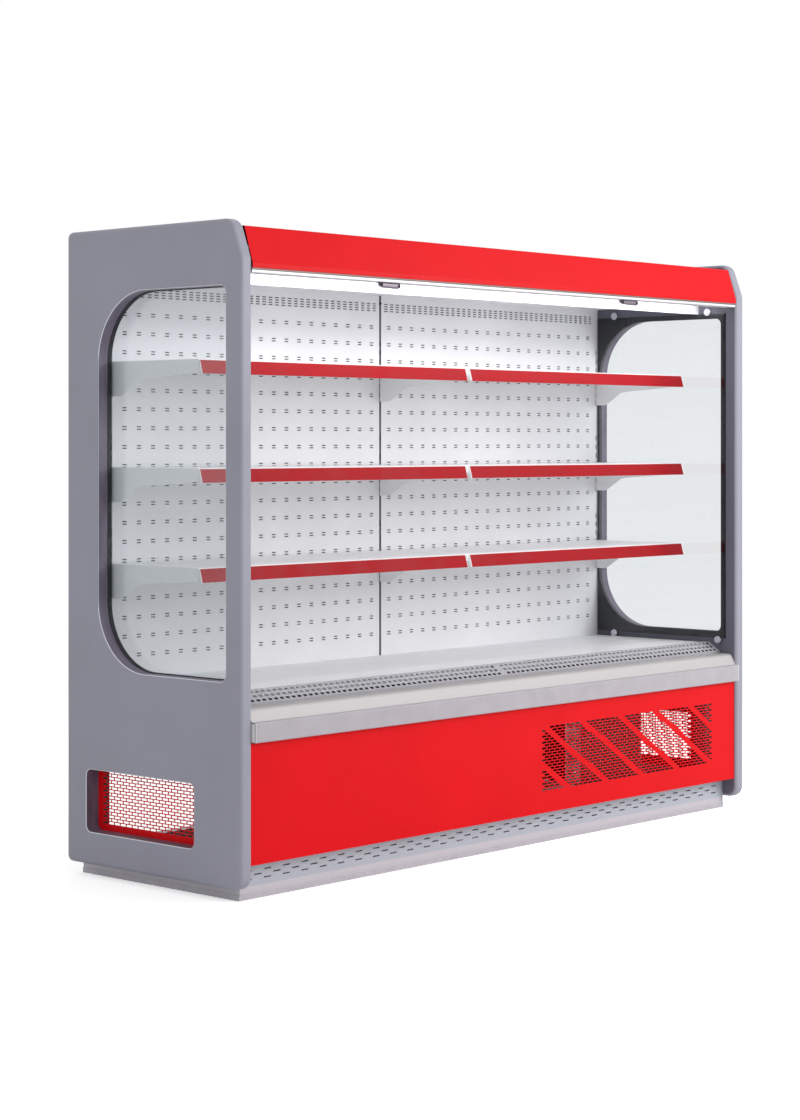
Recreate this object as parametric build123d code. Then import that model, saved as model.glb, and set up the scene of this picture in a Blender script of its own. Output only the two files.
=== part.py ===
from build123d import *
import os
from math import cos, hypot, pi, radians, sin

# Open multideck display fridge, two bays, with its condensing unit in the base.
# Millimetres. X runs along the length, Y from the end panels' front plane to the back,
# Z up from the floor. write() moves every piece so that the origin is the centre of the base.

# ------------------------------------------------------------------ driving dimensions
INNER_LENGTH = 2500.0  # clear length between the end panels
END_WALL = 50.0  # thickness of an end panel
PANEL_DEPTH = 796.0  # an end panel, front to back
PANEL_TOP = 2030.0
PANEL_BOTTOM = 41.0
BUMPER_PROUD = 12.0  # how far the bumper stands in front of the end panels
SHEET = 1.2  # folded steel sheet
CLEAR = 0.3  # between neighbours that do not carry each other
SEAT = 0.1  # between a piece and what it hangs on or slides in

# end panels and their glass
NOSE_START = 1911.0  # height where the front edge starts to lean back
NOSE_SET_BACK = 44.0  # how far back it is at the top
NOSE_ROUND = 45.0
NOSE_BEND = 40.0
TOE_ROUND = 40.0
HEEL_ROUND = 20.0
EDGE_ROUND = 14.0
WINDOW_FRONT, WINDOW_REAR = 65.0, 642.0
WINDOW_BOTTOM, WINDOW_TOP = 655.0, 1832.0
WINDOW_FRONT_ROUND, WINDOW_REAR_ROUND = 25.0, 216.0
GLASS_LAP_FRONT, GLASS_LAP_REAR = 18.0, 5.0  # glass past the window's edges
GLASS_LAP_LOW, GLASS_LAP_HIGH = 23.0, 16.0
GLASS = 6.0
GASKET = 3.0
GASKET_WALL, GASKET_DEEP = 2.0, 12.0  # its lip against the window's edge
OPENING_ROUND = 4.0  # outer edge of the window and the vent
DISC_RADIUS, DISC_THICK, DISC_STEM = 14.0, 4.0, 5.0
DISC_OFF_EDGE = 7.0  # disc centre outside the glass edge
DISC_FRONT_LOW, DISC_FRONT_HIGH, DISC_REAR = 76.0, 124.0, 562.0
VENT_FRONT, VENT_REAR = 204.0, 700.0
VENT_BOTTOM, VENT_TOP, VENT_ROUND = 145.0, 340.0, 20.0
VENT_LAP = 15.0  # grille sheet past the opening

# brick pattern of slots in the red grilles
BRICK_PITCH, BRICK_ROW = 28.0, 10.0
BRICK_LONG, BRICK_HIGH = 24.0, 6.8
BRICK_LEAST = 40.0  # smallest area left of a slot that a band cuts
SIDE_GRILLE_BORDER = 20.0
FRONT_GRILLE_LEFT, FRONT_GRILLE_RIGHT = 114.0, 1108.0
FRONT_GRILLE_BOTTOM, FRONT_GRILLE_TOP = 184.0, 404.0
BAND_PITCH, BAND_START, BAND_HALF = 210.0, 127.0, 18.0  # solid bands across the front grille
BAND_SLOPE = 1.56  # along X for each mm down

# insulated body
BACK_WALL = 60.0
BODY_BOTTOM = 425.0
TUB_FLOOR = 50.0
TUB_WALL = 40.0
TUB_FRONT = 22.0
TUB_RIM = 566.0
ROOF_TOP = 2008.8
ROOF_THICK = 54.0
ROOF_FRONT = 62.0

# canopy
FASCIA_TOP_Y, FASCIA_FOLD, FASCIA_BOTTOM = 36.0, 1897.0, 1884.0
FASCIA_LIP_REAR = 90.0
TRIM_FRONT, TRIM_DEPTH, TRIM_HIGH = 3.0, 22.0, 14.7
CEILING = 1883.0  # underside of the ceiling
CEILING_FRONT, CEILING_LIP = 170.0, 35.0
AIR_WALL_FRONT = 98.8
HONEYCOMB_BOTTOM, HONEYCOMB_HIGH = 1892.0, 25.0
CELL_LONG, CELL_WIDE, CELL_WALL = 44.0, 18.0, 3.0
LAMP_HIGH, LAMP_DEEP, LAMP_BOTTOM = 24.0, 16.0, 1881.0

# night blinds
ROLLER_RADIUS, ROLLER_Z = 18.0, 1925.0
BLIND_Y = 38.0  # plane of the cloth
CLOTH = 0.6
BAR_DEEP, BAR_HIGH, BAR_TOP = 12.0, 16.0, 1884.0
HANDLE_WIDE, HANDLE_DROP = 80.0, 11.0
PIN_RADIUS = 4.0
PIN_CLEAR = 0.05
BLIND_END = 8.0  # from the middle of the fridge or the end panel to a bracket
BRACKET_PLATE = 2.0

# back panels, uprights and shelves
BACK_FACE = 650.0
PANEL_GAP = 5.0  # half the gap between the back panels
SHELF_END_GAP = 10.0  # shelf to end panel
SLOT_GRID = 60.0
SLOT_LONG, SLOT_HIGH, SLOT_PAIR = 18.0, 3.4, 8.2
TOP_ROWS = 4  # close rows under the ceiling
SHELF_HEIGHTS = (984.0, 1287.0, 1619.0)
SHELF_FRONT = 246.0
SHELF_BACK_GAP = 9.0
TRAY_EDGE = 25.0
TRAY_GAP = 1.5  # half the gap between the shelves of the two bays
BRACKET = 2.0
BRACKET_REAR_HIGH, BRACKET_MID_HIGH, BRACKET_TIP_HIGH = 108.0, 58.0, 40.0
BRACKET_REAR_RUN, BRACKET_MID_RUN = 42.0, 135.0
RAIL_HIGH, RAIL_LEAN, RAIL_DROP = 41.0, 11.5, 3.0
RAIL_INSET = 12.0
RAIL_WALL = 1.5
UPRIGHT_HALF = 22.0
UPRIGHT_WALL = 2.0
HOOK_SLOT_WIDE, HOOK_SLOT_HIGH, HOOK_PITCH = 9.0, 18.0, 33.0
HOOK_DROP = 14.0  # hook's bearing below the top of the shelf
HOOK_HIGH, HOOK_REACH, HOOK_NOSE = 8.0, 4.0, 5.0

# deck and bumper
DECK = 614.0
DECK_SHEET = 1.5
DECK_FRONT = 123.0
DECK_LIP = 25.0
GRILLE_REAR, GRILLE_REAR_FLAT = 142.0, 120.0
GRILLE_FRONT, GRILLE_FRONT_Z, GRILLE_LIP = 73.0, 582.5, 9.0
AIR_SLOT_PITCH, AIR_SLOT_LONG, AIR_SLOT_WIDE = 25.0, 16.0, 10.5
AIR_SLOT_ROWS = 3
BAND_BOTTOM, BAND_TOP = 475.0, 536.0
NOSING_TOP = 577.0
NOSING_FRONT = 4.0
EXTRUSION = 2.5

# lower front, plinth and base
FRONT_PANEL_Y = 9.0
FRONT_PANEL_BOTTOM, FRONT_PANEL_TOP = 111.0, 474.5
FRONT_PANEL_LIP = 13.0
PLINTH_SET_BACK = 58.6
PLINTH_TOP, PLINTH_RAIL_TOP, PLINTH_STEP = 111.0, 38.0, 16.0
PLINTH_PROUD = 2.5
PLINTH_SLOT_LONG, PLINTH_SLOT_HIGH = 30.0, 4.0
PLINTH_SLOT_PITCH, PLINTH_SLOT_ROW, PLINTH_SLOT_FIRST = 80.0, 12.8, 58.5
SIDE_RAIL_TOP = 60.0
TUBE = 40.0
FRAME_BOTTOM = 60.0
FRAME_FRONT, FRAME_REAR = 70.0, 700.0
FOOT_RADIUS, FOOT_PAD, FOOT_STUD, FOOT_NUT = 22.0, 8.0, 6.0, 8.0

# evaporator and its fans
FAN_PLATE_Y = 190.0
FAN_PLATE_FLANGE = 20.0
FAN_FRAME, FAN_FRAME_DEEP = 119.0, 32.0
FAN_SPACING = 900.0
FAN_RADIUS, FAN_HUB, FAN_TIP_CLEAR = 52.0, 20.0, 3.0
FAN_MOTOR_LONG, FAN_ARM = 8.0, 5.0
FAN_BLADES, FAN_BLADE, FAN_PITCH = 7, 1.6, 38.0
COIL_LENGTH, COIL_FRONT, COIL_REAR = 1700.0, 330.0, 550.0
COIL_TOP = 590.0
COIL_FIN_PITCH = 34.0
COIL_TUBE = 5.0
COIL_ROWS = 4
COIL_LOW_TUBE, COIL_HIGH_TUBE = 0.3, 0.7  # share of the coil's height
COIL_TUBE_OUT, COIL_BEND_OUT = 18.0, 40.0  # past the two ends of the fins
FIN = 0.8
END_PLATE = 2.0

# condensing unit
UNIT_LEFT, UNIT_RIGHT = 300.0, 1000.0
UNIT_FRONT, UNIT_REAR = 150.0, 640.0
UNIT_LIP = 15.0
CONDENSER_LEFT, CONDENSER_RIGHT = 520.0, 880.0
CONDENSER_FRONT, CONDENSER_DEEP, CONDENSER_HIGH = 165.0, 66.0, 290.0
CONDENSER_FIN_PITCH = 8.0
CONDENSER_ROWS, CONDENSER_ROW = 5, 55.0
CONDENSER_TUBE_OUT, CONDENSER_BEND_OUT = 12.0, 18.0
SHROUD_DEEP = 28.0
BLOWER_RADIUS, BLOWER_HUB, BLOWER_CLEAR = 120.0, 32.0, 6.0
BLOWER_BLADES, BLOWER_BLADE, BLOWER_PITCH = 5, 2.0, 26.0
MOTOR_RADIUS, MOTOR_LONG, MOTOR_ROUND, MOTOR_ARM = 38.0, 62.0, 6.0, 12.0
SHAFT_RADIUS = 4.0
SHAFT_CLEAR = 0.05
COMPRESSOR_X, COMPRESSOR_Y = 825.0, 500.0
COMPRESSOR_RADIUS, COMPRESSOR_HIGH = 84.0, 200.0
GROMMET_RADIUS, GROMMET_HIGH = 13.0, 16.0
RECEIVER_X, RECEIVER_Y = 610.0, 560.0
RECEIVER_RADIUS, RECEIVER_HIGH = 50.0, 170.0
PIPE_X, PIPE_RISE = 1040.0, 50.0
BEND_RADIUS, TIGHT_BEND = 24.0, 14.0
LIQUID_RADIUS, SUCTION_RADIUS = 5.0, 8.0
DRAIN_X, DRAIN_Y, DRAIN_RADIUS = 400.0, 260.0, 16.0
WATER_TRAY_HIGH, TRAY_BEHIND_DRAIN, TRAY_INSET = 55.0, 150.0, 10.0
TRAP_HIGH = 90.0
BOX_LEFT, BOX_WIDE, BOX_FRONT, BOX_DEEP, BOX_HIGH = 325.0, 150.0, 450.0, 170.0, 150.0
BOX_ROUND, LID_LAP, LID_HIGH = 3.0, 2.0, 8.0
GLAND_RADIUS, GLAND_LONG, GLAND_BORE, GLAND_DEEP = 12.0, 22.0, 6.0, 16.0

# controller under the ceiling
CONTROL_X, CONTROL_Y = 300.0, 205.0
BEZEL_WIDE, BEZEL_DEEP, BEZEL_HIGH = 77.0, 35.0, 4.0
BODY_WIDE, BODY_DEEP, BODY_HIGH = 71.0, 29.0, 60.0
KEY_WIDE, KEY_DEEP, KEY_PROUD, KEY_SUNK = 9.0, 6.0, 0.8, 1.8
KEY_POCKET, KEY_PITCH, KEY_CLEAR = 2.6, 14.0, 0.15
KEYS_SPAN = 3.2  # key pitches from the first key's left to the bezel's right edge
KEYS = ("set", "up", "down")
DISPLAY_INSET, DISPLAY_RIGHT, DISPLAY_HALF, DISPLAY_SUNK = 5.0, 8.0, 10.0, 0.6
BEZEL_ROUND = 3.0

# ------------------------------------------------------------------ derived places
END = INNER_LENGTH / 2
ORIGIN_Y = (PANEL_DEPTH - BUMPER_PROUD) / 2
WALL_FACE = PANEL_DEPTH - BACK_WALL
TUB_BASE = BODY_BOTTOM + TUB_FLOOR
TUB_INSIDE = TUB_FRONT + TUB_WALL
ROOF_UNDER = ROOF_TOP - ROOF_THICK
GLASS_FRONT, GLASS_REAR = WINDOW_FRONT - GLASS_LAP_FRONT, WINDOW_REAR + GLASS_LAP_REAR
GLASS_BOTTOM, GLASS_TOP = WINDOW_BOTTOM - GLASS_LAP_LOW, WINDOW_TOP + GLASS_LAP_HIGH
UPRIGHT_FACE = BACK_FACE + SHEET
FRAME_TOP = FRAME_BOTTOM + TUBE
UNIT_FLOOR = FRAME_TOP + SHEET
ROLLER_Y = BLIND_Y + ROLLER_RADIUS + CLEAR
COIL_HALF = COIL_LENGTH / 2
COIL_ROW = (COIL_REAR - COIL_FRONT) / COIL_ROWS
LIQUID_Y, SUCTION_Y = COIL_FRONT + COIL_ROW * 1.5, COIL_FRONT + COIL_ROW * 2.5
LOW_TUBE_Z = TUB_BASE + (COIL_TOP - TUB_BASE) * COIL_LOW_TUBE
HIGH_TUBE_Z = TUB_BASE + (COIL_TOP - TUB_BASE) * COIL_HIGH_TUBE
SIDES = {"left": -1, "right": 1}


# ------------------------------------------------------------------ helpers
def box(low, high):
    """Block between two opposite corners."""
    size = [b - a for a, b in zip(low, high)]
    return Pos(*low) * Solid.make_box(*size)


def rod(start, direction, radius, length):
    """Round bar from a point along a direction."""
    return Solid.make_cylinder(radius, length, Plane(origin=start, z_dir=direction))


def rectangle(left, bottom, right, top):
    return Wire.make_polygon([(left, bottom), (right, bottom), (right, top), (left, top)])


def slot(centre_x, centre_y, wide, high):
    return rectangle(centre_x - wide / 2, centre_y - high / 2, centre_x + wide / 2, centre_y + high / 2)


def rounded(points, radii):
    return Wire(FilletPolyline(*points, radius=radii, close=True).edges())


def circle(centre_x, centre_y, radius):
    return Pos(centre_x, centre_y, 0) * Wire.make_circle(radius)


def plate(plane, outline, holes, thickness):
    """Flat sheet on a plane, its thickness along the plane's normal."""
    face = plane * Face(outline, holes)
    return Solid.extrude(face, plane.z_dir * thickness)


def side_plane(x):
    """Local x is Y, local y is Z, thickness along +X."""
    return Plane(origin=(x, 0, 0), x_dir=(0, 1, 0), z_dir=(1, 0, 0))


def front_plane(y):
    """Local x is X, local y is Z, thickness along -Y."""
    return Plane(origin=(0, y, 0), x_dir=(1, 0, 0), z_dir=(0, -1, 0))


def flat_plane(z):
    """Local x is X, local y is Y, thickness along +Z."""
    return Plane(origin=(0, 0, z), x_dir=(1, 0, 0), z_dir=(0, 0, 1))


def left_normal(start, end):
    run, rise = end[0] - start[0], end[1] - start[1]
    length = hypot(run, rise)
    return (-rise / length, run / length)


def bent_outline(points, thickness, radii=None):
    """Outline of a strip bent along points, its thickness to the left of the way they run."""
    radii = radii or [0] * (len(points) - 2)
    normals = [left_normal(a, b) for a, b in zip(points, points[1:])]
    back, back_radii = [], []
    for index, point in enumerate(points):
        before = normals[max(index - 1, 0)]
        after = normals[min(index, len(normals) - 1)]
        dot = 1 + before[0] * after[0] + before[1] * after[1]
        shift = [(before[axis] + after[axis]) * thickness / dot for axis in (0, 1)]
        back.append((point[0] + shift[0], point[1] + shift[1]))
        turn = before[0] * after[1] - before[1] * after[0]
        if 0 < index < len(points) - 1 and radii[index - 1]:
            side = -thickness if turn > 0 else thickness
            back_radii.append(max(radii[index - 1] + side, 0))
        elif 0 < index < len(points) - 1:
            back_radii.append(0)
    outline = list(points) + back[::-1]
    all_radii = [0] + list(radii) + [0, 0] + back_radii[::-1] + [0]
    return rounded(outline, all_radii) if any(all_radii) else Wire.make_polygon(outline)


def bent_strip(points, thickness, left, right, radii=None):
    """Folded sheet or extrusion: a bent strip drawn in Y and Z, running from left to right."""
    return plate(side_plane(left), bent_outline(points, thickness, radii), [], right - left)


def pipe(points, radii, radius):
    """Rigid pipe along straight runs joined by arcs."""
    path = FilletPolyline(*points, radius=radii)
    start = Plane(origin=path @ 0, z_dir=path % 0)
    return sweep(start * Circle(radius), path=path).solid()


def brick_centres(left, bottom, right, top):
    """Centres of the staggered rows of slots that fill a rectangle."""
    centres = []
    rows = int((top - bottom) // BRICK_ROW)
    for row in range(rows):
        z = bottom + (row + 0.5) * BRICK_ROW
        shift = BRICK_PITCH / 2 if row % 2 else 0
        count = int((right - left - shift) // BRICK_PITCH)
        for column in range(count):
            centres.append((left + shift + (column + 0.5) * BRICK_PITCH, z))
    return centres


def kept_side(corners, distance):
    """The part of a convex outline where a distance, linear over the plane, is not negative."""
    kept = []
    for here, there in zip(corners, corners[1:] + corners[:1]):
        before, after = distance(*here), distance(*there)
        if before >= 0:
            kept.append(here)
        if before * after < 0:
            share = before / (before - after)
            kept.append(tuple(a + (b - a) * share for a, b in zip(here, there)))
    return kept


def enclosed(corners):
    """Area inside a closed outline."""
    return abs(sum(a[0] * b[1] - b[0] * a[1] for a, b in zip(corners, corners[1:] + corners[:1]))) / 2


def fan_rotor(radius, hub_radius, hub_long, blades, blade_thick, pitch):
    """Fan wheel about the Y axis, its hub centred on the origin, with a bore for the shaft."""
    wheel = rod((0, -hub_long / 2, 0), (0, 1, 0), hub_radius, hub_long)
    root = hub_radius * 0.7
    width = hub_long / sin(radians(pitch)) * 0.86
    swept = radians(18)
    for index in range(blades):
        outline = Wire.make_polygon([
            (-width * 0.36, root), (width * 0.36, root),
            (width / 2 + radius * sin(swept) * 0.3, radius * 0.86),
            (width * 0.22 + radius * sin(swept) * 0.3, radius * 0.985),
            (-width / 2, radius * 0.93),
        ])
        blade = plate(flat_plane(-blade_thick / 2), outline, [], blade_thick)
        blade = Rot(0, pitch, 0) * (Rot(90, 0, 0) * blade)
        blade = Rot(0, 360 / blades * index, 0) * blade
        wheel = wheel + blade
    wheel = wheel & rod((0, -hub_long / 2, 0), (0, 1, 0), radius, hub_long)
    bore = rod((0, -hub_long / 2, 0), (0, 1, 0), SHAFT_RADIUS + SHAFT_CLEAR, hub_long * 0.8)
    return wheel - bore


def hairpin(x_left, x_right, places, radius):
    """One tube out and back: two straight runs joined by a bend."""
    (first_y, first_z), (second_y, second_z) = places
    bend = hypot(second_y - first_y, second_z - first_z) / 2 - CLEAR
    points = [(x_left, first_y, first_z), (x_right, first_y, first_z)]
    points += [(x_right, second_y, second_z), (x_left, second_y, second_z)]
    return pipe(points, [bend, bend], radius)


def fin_pack(x_left, x_right, pitch, outline, tube_places, tube_radius, end_thick):
    """Fins between two end plates, with a hole in each for every tube."""
    holes = [circle(y, z, tube_radius + SEAT) for y, z in tube_places]
    pieces = [plate(side_plane(x), outline, holes, end_thick) for x in (x_left, x_right - end_thick)]
    gap = (x_right - x_left) / int((x_right - x_left) // pitch)
    place = x_left + gap
    while place < x_right - gap / 2:
        pieces.append(plate(side_plane(place - FIN / 2), outline, holes, FIN))
        place += gap
    return pieces


def write(name, pieces):
    """Save one named sub-part with the origin moved to the centre of the base."""
    solids = []
    for piece in pieces if isinstance(pieces, list) else [pieces]:
        solids += piece.solids()
    moved = [Pos(0, -ORIGIN_Y, 0) * solid for solid in solids]
    shape = moved[0] if len(moved) == 1 else Compound(children=moved)
    export_step(shape, f"parts/{name}.step", write_pcurves=False)


def mirrored(piece, side):
    """The piece as drawn for the right-hand side, or its mirror image for the left."""
    return piece if side > 0 else mirror(piece, about=Plane.YZ)


# ------------------------------------------------------------------ end panels
def window_outline(inset=0):
    """The window's edge, drawn in Y and Z, or a line that far inside it."""
    front, rear = WINDOW_FRONT + inset, WINDOW_REAR - inset
    bottom, top = WINDOW_BOTTOM + inset, WINDOW_TOP - inset
    small, large = WINDOW_FRONT_ROUND - inset, WINDOW_REAR_ROUND - inset
    return rounded(
        [(front, bottom), (rear, bottom), (rear, top), (front, top)], [small, large, large, small]
    )


def end_panel():
    outer = rounded(
        [(0, PANEL_BOTTOM), (0, NOSE_START), (NOSE_SET_BACK, PANEL_TOP),
         (PANEL_DEPTH, PANEL_TOP), (PANEL_DEPTH, PANEL_BOTTOM)],
        [TOE_ROUND, NOSE_BEND, NOSE_ROUND, HEEL_ROUND, HEEL_ROUND],
    )
    vent = rounded(
        [(VENT_FRONT, VENT_BOTTOM), (VENT_REAR, VENT_BOTTOM),
         (VENT_REAR, VENT_TOP), (VENT_FRONT, VENT_TOP)],
        [VENT_ROUND] * 4,
    )
    panel = plate(side_plane(END), outer, [window_outline(), vent], END_WALL)
    faces = panel.faces().filter_by(Axis.X).sort_by(Axis.X)
    rim = faces[0].outer_wire().edges() + faces[-1].outer_wire().edges()
    panel = panel.fillet(EDGE_ROUND, rim)
    outside = panel.faces().filter_by(Axis.X).sort_by(Axis.X)[-1]
    edges = [edge for wire in outside.inner_wires() for edge in wire.edges()]
    return panel.fillet(OPENING_ROUND, edges)


def end_glass():
    outline = rectangle(GLASS_FRONT, GLASS_BOTTOM, GLASS_REAR, GLASS_TOP)
    return plate(side_plane(END - GASKET - GLASS), outline, [], GLASS)


def glass_gasket():
    """Rubber border between the glass and the panel, with a lip into the window."""
    outline = rectangle(GLASS_FRONT, GLASS_BOTTOM, GLASS_REAR, GLASS_TOP)
    border = plate(side_plane(END - GASKET), outline, [window_outline(GASKET_WALL)], GASKET)
    lip = plate(side_plane(END), window_outline(SEAT), [window_outline(GASKET_WALL)], GASKET_DEEP)
    return border + lip


def glass_disc(y, z):
    stem_long = GASKET + GLASS
    stem = rod((END - stem_long, y, z), (1, 0, 0), DISC_STEM, stem_long)
    head = rod((END - stem_long - DISC_THICK, y, z), (1, 0, 0), DISC_RADIUS, DISC_THICK)
    rim = head.edges().filter_by(GeomType.CIRCLE).sort_by(Axis.X)[0]
    return head.fillet(DISC_THICK * 0.3, [rim]) + stem


def glass_discs():
    low, high = GLASS_BOTTOM - DISC_OFF_EDGE, GLASS_TOP + DISC_OFF_EDGE
    places = [(DISC_FRONT_LOW, low), (DISC_REAR, low), (DISC_FRONT_HIGH, high), (DISC_REAR, high)]
    return [glass_disc(y, z) for y, z in places]


def side_grille():
    outline = rectangle(
        VENT_FRONT - VENT_LAP, VENT_BOTTOM - VENT_LAP, VENT_REAR + VENT_LAP, VENT_TOP + VENT_LAP
    )
    centres = brick_centres(
        VENT_FRONT, VENT_BOTTOM + SIDE_GRILLE_BORDER,
        VENT_REAR - SIDE_GRILLE_BORDER, VENT_TOP + VENT_LAP / 2,
    )
    slots = [slot(y, z, BRICK_LONG, BRICK_HIGH) for y, z in centres]
    return plate(side_plane(END - SHEET), outline, slots, SHEET)


# ------------------------------------------------------------------ insulated body
def back_wall():
    return box((-END, WALL_FACE, BODY_BOTTOM), (END, PANEL_DEPTH, ROOF_TOP))


def roof_panel():
    return box((-END, ROOF_FRONT, ROOF_UNDER), (END, WALL_FACE, ROOF_TOP))


def tub():
    outline = Wire.make_polygon([
        (TUB_FRONT, BODY_BOTTOM), (WALL_FACE, BODY_BOTTOM), (WALL_FACE, TUB_BASE),
        (TUB_INSIDE, TUB_BASE), (TUB_INSIDE, TUB_RIM), (TUB_FRONT, TUB_RIM),
    ])
    body = plate(side_plane(-END), outline, [], INNER_LENGTH)
    holes = [
        (DRAIN_X, DRAIN_Y, DRAIN_RADIUS), (PIPE_X, LIQUID_Y, LIQUID_RADIUS),
        (PIPE_X, SUCTION_Y, SUCTION_RADIUS),
    ]
    for x, y, radius in holes:
        body = body - rod((x, y, BODY_BOTTOM - 1), (0, 0, 1), radius + CLEAR, TUB_FLOOR + 2)
    return body


# ------------------------------------------------------------------ canopy
def canopy_fascia():
    points = [
        (FASCIA_LIP_REAR, ROOF_TOP + SHEET), (FASCIA_TOP_Y, ROOF_TOP + SHEET),
        (0, FASCIA_FOLD), (0, FASCIA_BOTTOM), (TRIM_FRONT + TRIM_DEPTH / 2, FASCIA_BOTTOM),
    ]
    return bent_strip(points, SHEET, -END + CLEAR, END - CLEAR, [4, 3, 0])


def canopy_trim():
    top, bottom = FASCIA_BOTTOM, FASCIA_BOTTOM - TRIM_HIGH
    rear = TRIM_FRONT + TRIM_DEPTH
    points = [(rear, top), (TRIM_FRONT, top), (TRIM_FRONT, bottom), (rear, bottom)]
    return bent_strip(points, SHEET, -END + CLEAR, END - CLEAR, [2, 2])


def ceiling_panel():
    top = CEILING + SHEET
    points = [(BACK_FACE + SHEET, top), (CEILING_FRONT, top), (CEILING_FRONT, CEILING - CEILING_LIP)]
    sheet = bent_strip(points, SHEET, -END + CLEAR, END - CLEAR, [0])
    opening = box(
        (CONTROL_X - BODY_WIDE / 2 - CLEAR, CONTROL_Y - BODY_DEEP / 2 - CLEAR, CEILING - 1),
        (CONTROL_X + BODY_WIDE / 2 + CLEAR, CONTROL_Y + BODY_DEEP / 2 + CLEAR, top + 1),
    )
    rear_guide = [(CEILING_FRONT, HONEYCOMB_BOTTOM + HONEYCOMB_HIGH), (CEILING_FRONT, top)]
    riser = bent_strip(rear_guide, SHEET, -END + CLEAR, END - CLEAR)
    wall = [(AIR_WALL_FRONT, ROOF_UNDER), (AIR_WALL_FRONT, LAMP_BOTTOM)]
    front_wall = bent_strip(wall, SHEET, -END + CLEAR, END - CLEAR)
    return [sheet - opening, riser, front_wall]


def honeycomb():
    front, rear = AIR_WALL_FRONT + SHEET, CEILING_FRONT
    pieces = []
    for side in (-1, 1):
        left, right = sorted((side * CLEAR, side * (END - CLEAR)))
        pitch_x, pitch_y = CELL_LONG + CELL_WALL, CELL_WIDE + CELL_WALL
        columns = int((right - left - CELL_WALL) // pitch_x)
        rows = int((rear - front - CELL_WALL) // pitch_y)
        first_x = (left + right) / 2 - (columns - 1) * pitch_x / 2
        first_y = (front + rear) / 2 - (rows - 1) * pitch_y / 2
        cells = [
            slot(first_x + column * pitch_x, first_y + row * pitch_y, CELL_LONG, CELL_WIDE)
            for column in range(columns) for row in range(rows)
        ]
        outline = rectangle(left, front, right, rear)
        pieces.append(plate(flat_plane(HONEYCOMB_BOTTOM), outline, cells, HONEYCOMB_HIGH))
    return pieces


def led_lamps():
    lamps = []
    front = AIR_WALL_FRONT - LAMP_DEEP
    for side in (-1, 1):
        left, right = sorted((side * BLIND_END * 3, side * (END - BLIND_END * 3)))
        points = [
            (AIR_WALL_FRONT, LAMP_BOTTOM), (AIR_WALL_FRONT, LAMP_BOTTOM + LAMP_HIGH),
            (front + LAMP_DEEP / 2, LAMP_BOTTOM + LAMP_HIGH), (front, LAMP_BOTTOM + LAMP_HIGH / 2),
            (front, LAMP_BOTTOM),
        ]
        lamps.append(plate(side_plane(left), rounded(points, [0, 2, 4, 4, 3]), [], right - left))
    return lamps


# ------------------------------------------------------------------ night blinds
def blind_span(side, inset):
    near = BLIND_END + BRACKET_PLATE + inset
    return sorted((side * near, side * (END - near)))


def blind_roller(side):
    left, right = blind_span(side, CLEAR * 4)
    tube = rod((left, ROLLER_Y, ROLLER_Z), (1, 0, 0), ROLLER_RADIUS, right - left)
    pin_left, pin_right = blind_span(side, -BRACKET_PLATE - CLEAR * 4)
    pins = rod((pin_left, ROLLER_Y, ROLLER_Z), (1, 0, 0), PIN_RADIUS, pin_right - pin_left)
    return tube + pins


def blind_cloth(side):
    left, right = blind_span(side, CLEAR * 10)
    return box((left, BLIND_Y - CLOTH, BAR_TOP + CLEAR), (right, BLIND_Y, ROLLER_Z))


def blind_bar(side):
    left, right = blind_span(side, CLEAR * 10)
    middle = (left + right) / 2
    front, rear = BLIND_Y - BAR_DEEP / 2, BLIND_Y + BAR_DEEP / 2
    bar = box((left, front, BAR_TOP - BAR_HIGH), (right, rear, BAR_TOP))
    low = BAR_TOP - BAR_HIGH - HANDLE_DROP
    points = [
        (BLIND_Y, BAR_TOP - BAR_HIGH), (BLIND_Y, low + 3), (front - 4, low), (front - 6, low + 6),
    ]
    grip = bent_strip(points, 3, middle - HANDLE_WIDE / 2, middle + HANDLE_WIDE / 2, [3, 2])
    return bar + grip


def blind_brackets():
    pieces = []
    outline = rectangle(
        ROLLER_Y - ROLLER_RADIUS * 0.8, ROLLER_Z - ROLLER_RADIUS, ROLLER_Y + ROLLER_RADIUS * 0.8, ROOF_UNDER
    )
    hole = circle(ROLLER_Y, ROLLER_Z, PIN_RADIUS + PIN_CLEAR)
    for side in (-1, 1):
        for centre in (BLIND_END + BRACKET_PLATE / 2, END - BLIND_END - BRACKET_PLATE / 2):
            plane = side_plane(side * centre - BRACKET_PLATE / 2)
            pieces.append(plate(plane, outline, [hole], BRACKET_PLATE))
    return pieces


# ------------------------------------------------------------------ back panels and uprights
def back_panel(side):
    left, right = sorted((side * PANEL_GAP, side * (END - SHELF_END_GAP - BRACKET * 2)))
    slots = []
    columns = int((right - left) // SLOT_GRID)
    first = side * SLOT_GRID * 0.75
    for column in range(columns):
        x = first + side * column * SLOT_GRID
        z = CEILING - SLOT_GRID * 1.8
        while z > DECK + SLOT_GRID / 2:
            slots.append(slot(x, z, SLOT_LONG, SLOT_HIGH))
            slots.append(slot(x, z - SLOT_PAIR, SLOT_LONG, SLOT_HIGH))
            z -= SLOT_GRID
        for row in range(TOP_ROWS):
            for half in (-1, 1):
                top_z = CEILING - SLOT_GRID / 2 - row * SLOT_PAIR
                slots.append(slot(x + half * SLOT_GRID / 4, top_z, SLOT_LONG, SLOT_HIGH))
    outline = rectangle(left, DECK - DECK_SHEET, right, CEILING)
    return plate(front_plane(BACK_FACE + SHEET), outline, slots, SHEET)


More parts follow.
